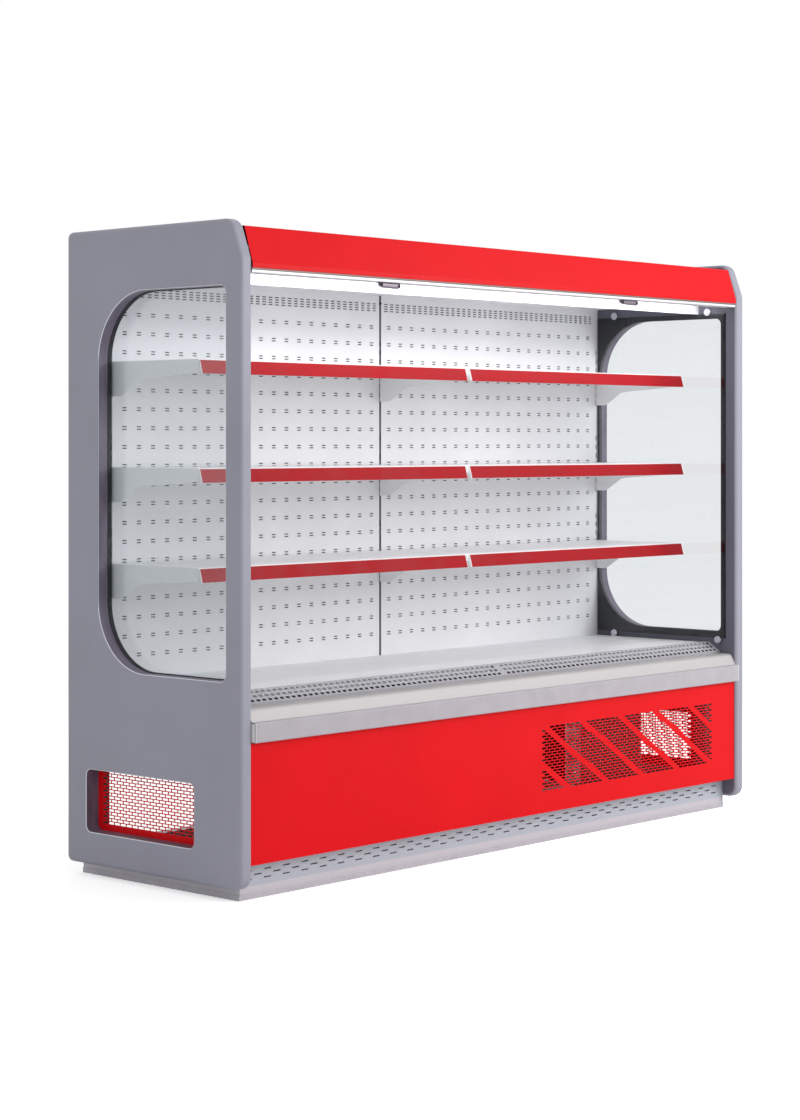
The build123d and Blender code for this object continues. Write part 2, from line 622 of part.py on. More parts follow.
def shelf_uprights():
    pieces = []
    low, high = TUB_BASE, ROOF_UNDER
    centres = {-1: -END + UPRIGHT_HALF, 0: 0, 1: END - UPRIGHT_HALF}
    slot_end = END - SHELF_END_GAP - BRACKET / 2
    slot_centres = {-1: -slot_end, 0: 0, 1: slot_end}
    for place, centre in centres.items():
        holes = []
        for height in SHELF_HEIGHTS:
            for step in (-3, -2, -1, 0, 1, 2, 3):
                middle = height - HOOK_DROP + HOOK_SLOT_HIGH / 2 + step * HOOK_PITCH
                holes.append(slot(slot_centres[place], middle, HOOK_SLOT_WIDE, HOOK_SLOT_HIGH))
        web = plate(
            front_plane(UPRIGHT_FACE + UPRIGHT_WALL),
            rectangle(centre - UPRIGHT_HALF, low, centre + UPRIGHT_HALF, high), holes, UPRIGHT_WALL,
        )
        rear = UPRIGHT_FACE + UPRIGHT_WALL
        for flange in (centre - UPRIGHT_HALF, centre + UPRIGHT_HALF - UPRIGHT_WALL):
            web = web + box((flange, rear, low), (flange + UPRIGHT_WALL, WALL_FACE, high))
        pieces.append(web)
    return pieces


# ------------------------------------------------------------------ shelves
def shelf_bracket(top):
    """Side plate of a shelf, drawn in Y and Z with its hooks at the back."""
    under = top - SHEET
    rear = BACK_FACE - TRAY_GAP
    bearing = top - HOOK_DROP + CLEAR
    tip = UPRIGHT_FACE + UPRIGHT_WALL + HOOK_REACH
    return Wire.make_polygon([
        (SHELF_FRONT + SHEET, under), (rear, under), (rear, bearing + HOOK_HIGH),
        (tip + 3, bearing + HOOK_HIGH), (tip + 3, bearing - HOOK_NOSE), (tip, bearing - HOOK_NOSE),
        (tip, bearing), (rear, bearing), (rear, under - BRACKET_REAR_HIGH),
        (rear - BRACKET_REAR_RUN, under - BRACKET_REAR_HIGH),
        (rear - BRACKET_REAR_RUN - 22, under - BRACKET_REAR_HIGH + 10),
        (rear - BRACKET_MID_RUN + 18, under - BRACKET_MID_HIGH - 6),
        (rear - BRACKET_MID_RUN, under - BRACKET_MID_HIGH),
        (SHELF_FRONT + SHEET + 4, under - BRACKET_TIP_HIGH),
        (SHELF_FRONT + SHEET, under - BRACKET_TIP_HIGH + 4),
    ])


def shelf(top):
    """Right-hand bay: tray of a top sheet and four edge strips, on its two side brackets."""
    near, far = TRAY_GAP, END - SHELF_END_GAP
    left, right = near + BRACKET + CLEAR, far - BRACKET - CLEAR
    rear = BACK_FACE - SHELF_BACK_GAP
    low, high = top - TRAY_EDGE, top - SHEET
    tray = [
        box((near, SHELF_FRONT, high), (far, rear, top)),
        box((left, SHELF_FRONT, low), (right, SHELF_FRONT + SHEET, high)),
        box((left, rear - SHEET, low), (right, rear, high)),
        box((left, SHELF_FRONT + SHEET, low), (left + SHEET, rear - SHEET, high)),
        box((right - SHEET, SHELF_FRONT + SHEET, low), (right, rear - SHEET, high)),
    ]
    outline = shelf_bracket(top)
    brackets = [plate(side_plane(x), outline, [], BRACKET) for x in (near, far - BRACKET)]
    return tray + brackets


def price_rail(top):
    """Right-hand bay: clip-on rail that leans out at its foot."""
    high = top - RAIL_DROP
    rear = SHELF_FRONT - SEAT
    face = rear - RAIL_WALL - 2
    points = [
        (rear, high - TRAY_EDGE + RAIL_DROP), (rear, high), (face, high),
        (face - RAIL_LEAN, high - RAIL_HIGH), (face - RAIL_LEAN + 8, high - RAIL_HIGH),
    ]
    return bent_strip(points, RAIL_WALL, RAIL_INSET, END - SHELF_END_GAP - BRACKET)


# ------------------------------------------------------------------ deck and bumper
def deck_pans():
    points = [(BACK_FACE - CLEAR, DECK), (DECK_FRONT, DECK), (DECK_FRONT, DECK - DECK_LIP)]
    pans = []
    for side in (-1, 1):
        left, right = sorted((side * CLEAR, side * (END - GASKET - GLASS - DISC_THICK - CLEAR)))
        pans.append(bent_strip(points, DECK_SHEET, left, right, [0]))
    return pans


def return_air_grilles():
    rise = DECK - GRILLE_FRONT_Z
    run = GRILLE_REAR_FLAT - GRILLE_FRONT
    slope = hypot(run, rise)
    row_pitch = slope / AIR_SLOT_ROWS
    pieces = []
    for side in (-1, 1):
        left, right = sorted((side * CLEAR, side * (END - CLEAR * 3)))
        plane = Plane(
            origin=(0, GRILLE_FRONT, GRILLE_FRONT_Z), x_dir=(1, 0, 0), z_dir=(0, -rise / slope, run / slope)
        )
        columns = int((right - left) // AIR_SLOT_PITCH)
        first = (left + right) / 2 - (columns - 1) * AIR_SLOT_PITCH / 2
        slots = [
            slot(first + column * AIR_SLOT_PITCH, (row + 0.5) * row_pitch, AIR_SLOT_LONG, AIR_SLOT_WIDE)
            for column in range(columns) for row in range(AIR_SLOT_ROWS)
        ]
        sheet = plate(plane, rectangle(left, 0, right, slope), slots, DECK_SHEET)
        lip = box(
            (left, GRILLE_FRONT - DECK_SHEET, GRILLE_FRONT_Z - GRILLE_LIP),
            (right, GRILLE_FRONT, GRILLE_FRONT_Z + DECK_SHEET / 2),
        )
        flat = box((left, GRILLE_REAR_FLAT - DECK_SHEET, DECK), (right, GRILLE_REAR, DECK + DECK_SHEET))
        pieces.append(sheet + lip + flat)
    return pieces


def bumper_band():
    front = -BUMPER_PROUD
    points = [
        (TUB_FRONT, BAND_TOP), (front, BAND_TOP), (front, BAND_BOTTOM), (TUB_FRONT, BAND_BOTTOM),
    ]
    return bent_strip(points, EXTRUSION, -END + CLEAR, END - CLEAR, [5, 5])


def bumper_nosing():
    points = [
        (TUB_INSIDE, TUB_RIM + SEAT), (TUB_INSIDE, NOSING_TOP), (NOSING_FRONT + 18, NOSING_TOP - 2),
        (NOSING_FRONT, BAND_TOP + SEAT), (TUB_FRONT - CLEAR, BAND_TOP + SEAT),
    ]
    return bent_strip(points, EXTRUSION, -END + CLEAR, END - CLEAR, [3, 14, 0])


# ------------------------------------------------------------------ lower front and plinth
def between_bands(x, z):
    """The parts of a slot of the front grille that the solid bands leave open."""
    def across(place_x, place_z):
        return place_x - BAND_START - (FRONT_GRILLE_TOP - place_z) * BAND_SLOPE

    half_long, half_high = BRICK_LONG / 2, BRICK_HIGH / 2
    corners = [
        (x - half_long, z - half_high), (x + half_long, z - half_high),
        (x + half_long, z + half_high), (x - half_long, z + half_high),
    ]
    first = int(min(across(*corner) for corner in corners) // BAND_PITCH)
    parts = []
    for band in (first, first + 1):
        left, right = band * BAND_PITCH + BAND_HALF, (band + 1) * BAND_PITCH - BAND_HALF
        part = kept_side(corners, lambda a, b: across(a, b) - left)
        part = kept_side(part, lambda a, b: right - across(a, b))
        if enclosed(part) > BRICK_LEAST:
            parts.append(Wire.make_polygon(part))
    return parts


def front_panel():
    centres = brick_centres(
        FRONT_GRILLE_LEFT, FRONT_GRILLE_BOTTOM, FRONT_GRILLE_RIGHT, FRONT_GRILLE_TOP
    )
    slots = [part for x, z in centres for part in between_bands(x, z)]
    left, right = -END + CLEAR, END - CLEAR
    outline = rectangle(left, FRONT_PANEL_BOTTOM, right, FRONT_PANEL_TOP)
    sheet = plate(front_plane(FRONT_PANEL_Y + SHEET), outline, slots, SHEET)
    for low in (FRONT_PANEL_BOTTOM, FRONT_PANEL_TOP - SHEET):
        rear = FRONT_PANEL_Y + FRONT_PANEL_LIP
        sheet = sheet + box((left, FRONT_PANEL_Y, low), (right, rear, low + SHEET))
    return sheet


def plinth():
    """Perforated front sheet with its stepped foot rail, and the rails under the end panels."""
    front = PLINTH_SET_BACK
    slots = []
    for row in range(3):
        z = PLINTH_SLOT_FIRST + row * PLINTH_SLOT_ROW
        x = -END + PLINTH_SLOT_PITCH / 2 + (PLINTH_SLOT_PITCH / 2 if row % 2 else 0)
        while x < END - PLINTH_SLOT_LONG:
            slots.append(slot(x, z, PLINTH_SLOT_LONG, PLINTH_SLOT_HIGH))
            x += PLINTH_SLOT_PITCH
    outline = rectangle(-END + SHEET, PLINTH_RAIL_TOP, END - SHEET, PLINTH_TOP)
    sheet = plate(front_plane(front + PLINTH_PROUD + SHEET), outline, slots, SHEET)
    rail = [
        (front + PLINTH_PROUD, PLINTH_RAIL_TOP), (front + PLINTH_PROUD / 2, PLINTH_STEP),
        (front, PLINTH_STEP), (front, 0),
    ]
    pieces = [sheet, bent_strip(rail, SHEET * 2, -END + SHEET * 2, END - SHEET * 2)]
    for side in (-1, 1):
        outer = side * END
        outline = Wire.make_polygon([
            (outer - side * PLINTH_PROUD, SIDE_RAIL_TOP), (outer - side * PLINTH_PROUD, PLINTH_STEP),
            (outer, PLINTH_STEP), (outer, 0), (outer - side * SHEET * 2, 0),
            (outer - side * SHEET * 2, PLINTH_STEP - SHEET * 2),
            (outer - side * (PLINTH_PROUD + SHEET * 2), PLINTH_STEP - SHEET * 2),
            (outer - side * (PLINTH_PROUD + SHEET * 2), SIDE_RAIL_TOP),
        ])
        rear = PANEL_DEPTH - HEEL_ROUND
        pieces.append(plate(front_plane(rear), outline, [], rear - front))
    return pieces


def base_frame():
    """Welded ladder of square tubes with its posts up to the insulated body."""
    half = END - PLINTH_PROUD - SHEET * 2 - CLEAR
    pieces = []
    for y in (FRAME_FRONT, FRAME_REAR):
        pieces.append(box((-half, y, FRAME_BOTTOM), (half, y + TUBE, FRAME_TOP)))
    inner = UNIT_LEFT + TUBE / 2
    outer = UNIT_RIGHT - TUBE / 2
    for x in (-half + TUBE / 2, -inner * 2, 0, inner, outer, half - TUBE / 2):
        pieces.append(
            box((x - TUBE / 2, FRAME_FRONT + TUBE, FRAME_BOTTOM), (x + TUBE / 2, FRAME_REAR, FRAME_TOP))
        )
    for y in (FRAME_FRONT, FRAME_REAR):
        for x in (-half, -TUBE / 2, half - TUBE):
            pieces.append(box((x, y, FRAME_TOP), (x + TUBE, y + TUBE, BODY_BOTTOM)))
    return pieces


def levelling_feet():
    pieces = []
    half = END - PLINTH_PROUD - SHEET * 2 - CLEAR
    corners = [pi / 3 * k for k in range(6)]
    hexagon = Wire.make_polygon([(FOOT_STUD * 2 * cos(a), FOOT_STUD * 2 * sin(a)) for a in corners])
    for y in (FRAME_FRONT + TUBE / 2, FRAME_REAR + TUBE / 2):
        for x in (-half + TUBE / 2, 0, half - TUBE / 2):
            pad = Solid.make_cone(FOOT_RADIUS, FOOT_RADIUS * 0.6, FOOT_PAD, Plane(origin=(x, y, 0)))
            stud = rod((x, y, 0), (0, 0, 1), FOOT_STUD, FRAME_BOTTOM)
            nut = plate(flat_plane(FRAME_BOTTOM - FOOT_NUT), Pos(x, y) * hexagon, [], FOOT_NUT)
            pieces.append(pad + stud + nut)
    return pieces


# ------------------------------------------------------------------ evaporator
def fan_places():
    return [(side * FAN_SPACING / 2, TUB_BASE + (DECK - DECK_SHEET - TUB_BASE) / 2) for side in (-1, 1)]


def fan_plate():
    """Baffle that carries the deck and the two evaporator fans."""
    top = DECK - DECK_SHEET
    holes = [circle(x, z, FAN_RADIUS + FAN_TIP_CLEAR) for x, z in fan_places()]
    left, right = -END + CLEAR, END - CLEAR
    sheet = plate(front_plane(FAN_PLATE_Y), rectangle(left, TUB_BASE, right, top), holes, SHEET)
    flange = box(
        (left, FAN_PLATE_Y, top - SHEET), (right, FAN_PLATE_Y + FAN_PLATE_FLANGE, top)
    )
    foot = box((left, FAN_PLATE_Y, TUB_BASE), (right, FAN_PLATE_Y + FAN_PLATE_FLANGE, TUB_BASE + SHEET))
    return sheet + flange + foot


def fan_motor(x, z):
    """Square fan frame with its motor on three arms, seen from behind the baffle."""
    front = FAN_PLATE_Y - SHEET
    throat = circle(x, z, FAN_RADIUS + FAN_TIP_CLEAR)
    frame = plate(front_plane(front), slot(x, z, FAN_FRAME, FAN_FRAME), [throat], FAN_FRAME_DEEP)
    arm_front = front - FAN_FRAME_DEEP
    motor = rod((x, arm_front, z), (0, 1, 0), FAN_HUB, FAN_MOTOR_LONG)
    for index in range(3):
        arm = box((-FAN_ARM / 2, 0, FAN_HUB * 0.8), (FAN_ARM / 2, FAN_MOTOR_LONG / 2, FAN_RADIUS + FAN_ARM))
        motor = motor + Pos(x, arm_front, z) * (Rot(0, 120 * index + 60, 0) * arm)
    shaft = rod((x, arm_front, z), (0, 1, 0), SHAFT_RADIUS, FAN_FRAME_DEEP * 0.7)
    return frame + motor + shaft


def evaporator_rotor(x, z):
    """The fan wheel on the motor's shaft, with its blind bore towards the motor."""
    long = FAN_FRAME_DEEP * 0.56
    wheel = fan_rotor(FAN_RADIUS, FAN_HUB, long, FAN_BLADES, FAN_BLADE, FAN_PITCH)
    middle = FAN_PLATE_Y - SHEET - FAN_FRAME_DEEP + FAN_MOTOR_LONG + CLEAR * 2 + long / 2
    return Pos(x, middle, z) * wheel


def evaporator_coil():
    outline = rectangle(COIL_FRONT, TUB_BASE, COIL_REAR, COIL_TOP)
    places = []
    for row in range(COIL_ROWS):
        y = COIL_FRONT + (row + 0.5) * COIL_ROW
        places += [(y, LOW_TUBE_Z), (y, HIGH_TUBE_Z)]
    pieces = fin_pack(-COIL_HALF, COIL_HALF, COIL_FIN_PITCH, outline, places, COIL_TUBE, END_PLATE)
    tube_end, bend_end = COIL_HALF + COIL_TUBE_OUT, -COIL_HALF - COIL_BEND_OUT
    for row in range(COIL_ROWS):
        pieces.append(hairpin(tube_end, bend_end, places[row * 2:row * 2 + 2], COIL_TUBE))
    return pieces


# ------------------------------------------------------------------ condensing unit
def unit_base():
    """Pressed base with a raised lip, and the tray where the drained water dries off."""
    base = box((UNIT_LEFT, UNIT_FRONT, FRAME_TOP), (UNIT_RIGHT, UNIT_REAR, UNIT_FLOOR + UNIT_LIP))
    base = base - box(
        (UNIT_LEFT + SHEET, UNIT_FRONT + SHEET, UNIT_FLOOR),
        (UNIT_RIGHT - SHEET, UNIT_REAR - SHEET, UNIT_FLOOR + UNIT_LIP + 1),
    )
    tray_low = (UNIT_LEFT + TRAY_INSET, UNIT_FRONT + TRAY_INSET, UNIT_FLOOR)
    tray_high = (
        CONDENSER_LEFT - CONDENSER_BEND_OUT * 2, DRAIN_Y + TRAY_BEHIND_DRAIN,
        UNIT_FLOOR + WATER_TRAY_HIGH,
    )
    tray = box(tray_low, tray_high) - box(
        (tray_low[0] + SHEET, tray_low[1] + SHEET, tray_low[2] + SHEET),
        (tray_high[0] - SHEET, tray_high[1] - SHEET, tray_high[2] + 1),
    )
    return [base, tray]


def compressor():
    """Welded can on rubber-mounted feet, with its terminal box, and the liquid receiver."""
    low = UNIT_FLOOR + GROMMET_HIGH
    radius, high = COMPRESSOR_RADIUS, COMPRESSOR_HIGH
    profile = rounded(
        [(0, low), (radius * 0.8, low), (radius, low + high * 0.25), (radius, low + high * 0.8),
         (radius * 0.62, low + high), (0, low + high)],
        [0, 12, 30, 40, 40, 0],
    )
    can = Solid.revolve(Plane.XZ * Face(profile), 360, Axis.Z)
    band_z = low + high * 0.52
    band = rod((0, 0, band_z), (0, 0, 1), radius + 3, 9)
    can = can + band
    foot = plate(flat_plane(low), rounded(
        [(-radius - 22, -radius * 0.7), (radius + 22, -radius * 0.7),
         (radius + 22, radius * 0.7), (-radius - 22, radius * 0.7)], [14] * 4,
    ), [], 3)
    can = can + foot + box((-radius - 26, -28, low + high * 0.42), (-radius + 10, 28, low + high * 0.8))
    for x in (-radius - 6, radius + 6):
        for y in (-radius * 0.5, radius * 0.5):
            can = can + rod((x, y, UNIT_FLOOR), (0, 0, 1), GROMMET_RADIUS, GROMMET_HIGH)
    can = Pos(COMPRESSOR_X, COMPRESSOR_Y, 0) * can
    outline = rounded(
        [(0, 0), (RECEIVER_RADIUS, 0), (RECEIVER_RADIUS, RECEIVER_HIGH), (0, RECEIVER_HIGH)], [0, 22, 22, 0]
    )
    shell = Solid.revolve(Plane.XZ * Face(outline), 360, Axis.Z)
    receiver = Pos(RECEIVER_X, RECEIVER_Y, UNIT_FLOOR) * shell
    return [can, receiver]


def condenser_places():
    front = CONDENSER_FRONT + CONDENSER_DEEP * 0.27
    rear = CONDENSER_FRONT + CONDENSER_DEEP * 0.73
    first = UNIT_FLOOR + (CONDENSER_HIGH - (CONDENSER_ROWS - 1) * CONDENSER_ROW) / 2
    heights = [first + row * CONDENSER_ROW for row in range(CONDENSER_ROWS)]
    return [((front, z), (rear, z)) for z in heights]


def condenser_coil():
    pairs = condenser_places()
    outline = rectangle(
        CONDENSER_FRONT, UNIT_FLOOR, CONDENSER_FRONT + CONDENSER_DEEP, UNIT_FLOOR + CONDENSER_HIGH
    )
    places = [place for pair in pairs for place in pair]
    pieces = fin_pack(
        CONDENSER_LEFT, CONDENSER_RIGHT, CONDENSER_FIN_PITCH, outline, places, COIL_TUBE, END_PLATE
    )
    tube_end, bend_end = CONDENSER_RIGHT + CONDENSER_TUBE_OUT, CONDENSER_LEFT - CONDENSER_BEND_OUT
    for pair in pairs:
        pieces.append(hairpin(tube_end, bend_end, pair, COIL_TUBE))
    return pieces


def blower_centre():
    return ((CONDENSER_LEFT + CONDENSER_RIGHT) / 2, UNIT_FLOOR + CONDENSER_HIGH / 2)


def fan_shroud():
    """Sheet behind the condenser with a round throat, and the fan motor on its arms."""
    x, z = blower_centre()
    rear = CONDENSER_FRONT + CONDENSER_DEEP
    opening = BLOWER_RADIUS + BLOWER_CLEAR
    outline = rectangle(CONDENSER_LEFT, UNIT_FLOOR, CONDENSER_RIGHT, UNIT_FLOOR + CONDENSER_HIGH)
    sheet = plate(front_plane(rear + SHEET), outline, [circle(x, z, opening)], SHEET)
    throat = plate(
        front_plane(rear + SHROUD_DEEP), circle(x, z, opening + SHEET), [circle(x, z, opening)], SHROUD_DEEP
    )
    sheet = sheet + throat
    arm_y = rear + SHROUD_DEEP - SHEET * 2
    motor = rod((x, arm_y, z), (0, 1, 0), MOTOR_RADIUS, MOTOR_LONG)
    motor = motor.fillet(MOTOR_ROUND, motor.edges().filter_by(GeomType.CIRCLE).sort_by(Axis.Y)[-1:])
    for index in range(3):
        arm = box((-MOTOR_ARM / 2, 0, MOTOR_RADIUS * 0.8), (MOTOR_ARM / 2, SHEET * 2, opening + SHEET / 2))
        motor = motor + Pos(x, arm_y, z) * (Rot(0, 120 * index + 60, 0) * arm)
    shaft_long = (SHROUD_DEEP - SHEET * 2) * 0.7
    shaft = rod((x, arm_y - shaft_long, z), (0, 1, 0), SHAFT_RADIUS, shaft_long + SHEET)
    return sheet + motor + shaft


def blower_wheel():
    x, z = blower_centre()
    rear = CONDENSER_FRONT + CONDENSER_DEEP
    room = SHROUD_DEEP - SHEET * 2
    long = room - CLEAR * 6
    wheel = fan_rotor(BLOWER_RADIUS, BLOWER_HUB, long, BLOWER_BLADES, BLOWER_BLADE, BLOWER_PITCH)
    return Pos(x, rear + CLEAR * 2 + long / 2, z) * (Rot(0, 0, 180) * wheel)


def refrigerant_pipes():
    """Discharge, liquid and suction lines."""
    can_top = UNIT_FLOOR + GROMMET_HIGH + COMPRESSOR_HIGH
    coil_end = COIL_HALF + COIL_TUBE_OUT + CLEAR
    over = can_top + PIPE_RISE
    can_side = COMPRESSOR_X + COMPRESSOR_RADIUS + SEAT
    suction_y = COMPRESSOR_Y - SUCTION_RADIUS * 1.5
    port_z = UNIT_FLOOR + GROMMET_HIGH + COMPRESSOR_HIGH * 0.7
    receiver_top = UNIT_FLOOR + RECEIVER_HIGH + SEAT
    liquid = pipe(
        [(RECEIVER_X, RECEIVER_Y, receiver_top), (RECEIVER_X, RECEIVER_Y, over),
         (PIPE_X, RECEIVER_Y, over), (PIPE_X, LIQUID_Y, over), (PIPE_X, LIQUID_Y, HIGH_TUBE_Z),
         (coil_end, LIQUID_Y, HIGH_TUBE_Z)],
        [BEND_RADIUS] * 4, LIQUID_RADIUS,
    )
    suction = pipe(
        [(can_side, suction_y, port_z), (PIPE_X, suction_y, port_z),
         (PIPE_X, SUCTION_Y, port_z + BEND_RADIUS * 2), (PIPE_X, SUCTION_Y, LOW_TUBE_Z),
         (coil_end, SUCTION_Y, LOW_TUBE_Z)],
        [TIGHT_BEND, TIGHT_BEND, BEND_RADIUS], SUCTION_RADIUS,
    )
    pairs = condenser_places()
    top_y, top_z = pairs[-1][1]
    end_x = CONDENSER_RIGHT + CONDENSER_TUBE_OUT + CLEAR
    beside = end_x + BEND_RADIUS * 2
    can_front = COMPRESSOR_Y - COMPRESSOR_RADIUS - SEAT
    turn_y = can_front - BEND_RADIUS * 2.5
    discharge = pipe(
        [(end_x, top_y, top_z), (beside, top_y, top_z), (beside, turn_y, top_z),
         (COMPRESSOR_X, turn_y, port_z), (COMPRESSOR_X, can_front, port_z)],
        [TIGHT_BEND, BEND_RADIUS, TIGHT_BEND], LIQUID_RADIUS,
    )
    return [liquid, suction, discharge]


def drain_pipe():
    """Drain from the tub floor with a trap, down into the water tray."""
    low = UNIT_FLOOR + WATER_TRAY_HIGH * 0.5
    bend = DRAIN_RADIUS * 1.8
    across = bend * 2.2
    points = [
        (DRAIN_X, DRAIN_Y, TUB_BASE), (DRAIN_X, DRAIN_Y, low + TRAP_HIGH),
        (DRAIN_X, DRAIN_Y + across, low + TRAP_HIGH), (DRAIN_X, DRAIN_Y + across, low + TRAP_HIGH * 2),
        (DRAIN_X, DRAIN_Y + across * 2, low + TRAP_HIGH * 2), (DRAIN_X, DRAIN_Y + across * 2, low),
    ]
    return pipe(points, [bend, bend, bend, bend], DRAIN_RADIUS)


def electrical_box():
    """Terminal box with a lid, its screws and the gland where the supply enters."""
    low = (BOX_LEFT, BOX_FRONT, UNIT_FLOOR)
    high = (BOX_LEFT + BOX_WIDE, BOX_FRONT + BOX_DEEP, UNIT_FLOOR + BOX_HIGH)
    body = box(low, high)
    body = body.fillet(BOX_ROUND, body.edges().filter_by(Axis.Z))
    lid = box(
        (low[0] - LID_LAP, low[1] - LID_LAP, high[2]),
        (high[0] + LID_LAP, high[1] + LID_LAP, high[2] + LID_HIGH),
    )
    lid = lid.fillet(BOX_ROUND, lid.edges().filter_by(Axis.Z))
    middle_y, middle_z = low[1] + BOX_DEEP / 2, low[2] + BOX_HIGH / 2
    gland = rod((low[0], middle_y, middle_z), (-1, 0, 0), GLAND_RADIUS, GLAND_LONG)
    bore_start = low[0] - GLAND_LONG + GLAND_DEEP
    gland = gland - rod((bore_start, middle_y, middle_z), (-1, 0, 0), GLAND_BORE, GLAND_LONG)
    return body + lid + gland


# ------------------------------------------------------------------ controller
def key_places():
    start = CONTROL_X + BEZEL_WIDE / 2 - KEY_PITCH * KEYS_SPAN
    return [(start + KEY_PITCH * index + KEY_PITCH / 2, CONTROL_Y) for index in range(len(KEYS))]


def temperature_controller():
    face = CEILING - BEZEL_HIGH
    bezel = box(
        (CONTROL_X - BEZEL_WIDE / 2, CONTROL_Y - BEZEL_DEEP / 2, face),
        (CONTROL_X + BEZEL_WIDE / 2, CONTROL_Y + BEZEL_DEEP / 2, CEILING),
    )
    bezel = bezel.fillet(BEZEL_ROUND, bezel.edges().filter_by(Axis.Z))
    body = box(
        (CONTROL_X - BODY_WIDE / 2, CONTROL_Y - BODY_DEEP / 2, CEILING),
        (CONTROL_X + BODY_WIDE / 2, CONTROL_Y + BODY_DEEP / 2, CEILING + BODY_HIGH),
    )
    body = bezel + body
    for x, y in key_places():
        body = body - box(
            (x - KEY_WIDE / 2 - KEY_CLEAR, y - KEY_DEEP / 2 - KEY_CLEAR, face - 1),
            (x + KEY_WIDE / 2 + KEY_CLEAR, y + KEY_DEEP / 2 + KEY_CLEAR, face + KEY_POCKET),
        )
    window = box(
        (CONTROL_X - BEZEL_WIDE / 2 + DISPLAY_INSET, CONTROL_Y - DISPLAY_HALF, face - 1),
        (CONTROL_X - DISPLAY_RIGHT, CONTROL_Y + DISPLAY_HALF, face + DISPLAY_SUNK),
    )
    return body - window


def controller_key(x, y):
    face = CEILING - BEZEL_HIGH
    return box(
        (x - KEY_WIDE / 2, y - KEY_DEEP / 2, face - KEY_PROUD),
        (x + KEY_WIDE / 2, y + KEY_DEEP / 2, face + KEY_SUNK),
    )


# ------------------------------------------------------------------ build
os.makedirs("parts", exist_ok=True)

panel, glass = end_panel(), end_glass()
for side_name, side in SIDES.items():
    write(f"end_panel_{side_name}", mirrored(panel, side))
    write(f"end_glass_{side_name}", mirrored(glass, side))
    write(f"blind_roller_{side_name}", blind_roller(side))
    write(f"blind_cloth_{side_name}", blind_cloth(side))
    write(f"blind_bar_{side_name}", blind_bar(side))
    for level, height in enumerate(SHELF_HEIGHTS, 1):
        write(f"shelf_{level}_{side_name}", [mirrored(piece, side) for piece in shelf(height)])
        write(f"price_rail_{level}_{side_name}", mirrored(price_rail(height), side))

write("glass_gaskets", [mirrored(glass_gasket(), side) for side in SIDES.values()])
write("glass_fixing_discs", [mirrored(disc, side) for side in SIDES.values() for disc in glass_discs()])
write("side_grilles", [mirrored(side_grille(), side) for side in SIDES.values()])
write("back_wall", back_wall())
write("roof_panel", roof_panel())
write("insulated_tub", tub())
write("canopy_fascia", canopy_fascia())
write("canopy_trim", canopy_trim())
write("ceiling_panel", ceiling_panel())
write("air_honeycomb", honeycomb())
write("led_lamps", led_lamps())
write("blind_brackets", blind_brackets())
write("back_panels", [back_panel(side) for side in SIDES.values()])
write("shelf_uprights", shelf_uprights())
write("deck_pans", deck_pans())
write("return_air_grilles", return_air_grilles())
write("bumper_band", bumper_band())
write("bumper_nosing", bumper_nosing())
write("front_panel", front_panel())
write("plinth", plinth())
write("base_frame", base_frame())
write("levelling_feet", levelling_feet())
write("evaporator_fan_plate", [fan_plate()] + [fan_motor(x, z) for x, z in fan_places()])
for side_name, (fan_x, fan_z) in zip(SIDES, fan_places()):
    write(f"evaporator_fan_{side_name}", evaporator_rotor(fan_x, fan_z))
write("evaporator_coil", evaporator_coil())
write("condensing_unit_base", unit_base())
write("compressor", compressor())
write("condenser_coil", condenser_coil())
write("condenser_fan_shroud", fan_shroud())
write("condenser_fan", blower_wheel())
write("refrigerant_pipes", refrigerant_pipes())
write("drain_pipe", drain_pipe())
write("electrical_box", electrical_box())
write("temperature_controller", temperature_controller())
for key_name, (key_x, key_y) in zip(KEYS, key_places()):
    write(f"controller_key_{key_name}", controller_key(key_x, key_y))
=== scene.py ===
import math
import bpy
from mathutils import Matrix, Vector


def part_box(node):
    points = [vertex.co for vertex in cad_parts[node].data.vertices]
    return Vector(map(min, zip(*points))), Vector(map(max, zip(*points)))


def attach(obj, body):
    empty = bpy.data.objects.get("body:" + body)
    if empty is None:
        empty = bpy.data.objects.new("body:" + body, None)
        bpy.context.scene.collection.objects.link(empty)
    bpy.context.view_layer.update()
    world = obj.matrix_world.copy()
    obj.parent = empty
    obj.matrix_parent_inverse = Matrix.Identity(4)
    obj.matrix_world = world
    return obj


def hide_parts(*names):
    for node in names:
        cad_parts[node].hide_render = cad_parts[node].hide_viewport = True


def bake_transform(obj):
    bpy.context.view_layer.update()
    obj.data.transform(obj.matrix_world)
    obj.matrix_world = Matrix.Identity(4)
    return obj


bl_info = {
    "name": "Open multideck display fridge",
    "version": (1, 0, 0),
    "blender": (4, 5, 0),
    "location": "View3D > Sidebar > Display fridge",
    "description": "Dresses the solids of a two-bay open display fridge with its finishes and small pieces",
    "category": "Object",
}

import bmesh
import bpy
from bpy.props import FloatProperty, FloatVectorProperty, IntProperty, PointerProperty
from mathutils import Matrix, Vector

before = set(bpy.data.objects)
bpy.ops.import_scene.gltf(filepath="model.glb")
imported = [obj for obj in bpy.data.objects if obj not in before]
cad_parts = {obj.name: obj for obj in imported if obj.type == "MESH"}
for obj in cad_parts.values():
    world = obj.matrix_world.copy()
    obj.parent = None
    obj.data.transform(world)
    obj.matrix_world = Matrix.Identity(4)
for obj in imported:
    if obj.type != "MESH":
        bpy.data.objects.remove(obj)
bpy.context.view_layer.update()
SIDES = {"left": -1, "right": 1}
LEVELS = (1, 2, 3)


def linear(code):
    """Scene-linear red, green and blue, and a 1, for an sRGB hex colour."""
    channels = [int(code[place:place + 2], 16) / 255 for place in (1, 3, 5)]
    return tuple(c / 12.92 if c <= 0.04045 else ((c + 0.055) / 1.055) ** 2.4 for c in channels) + (1.0,)


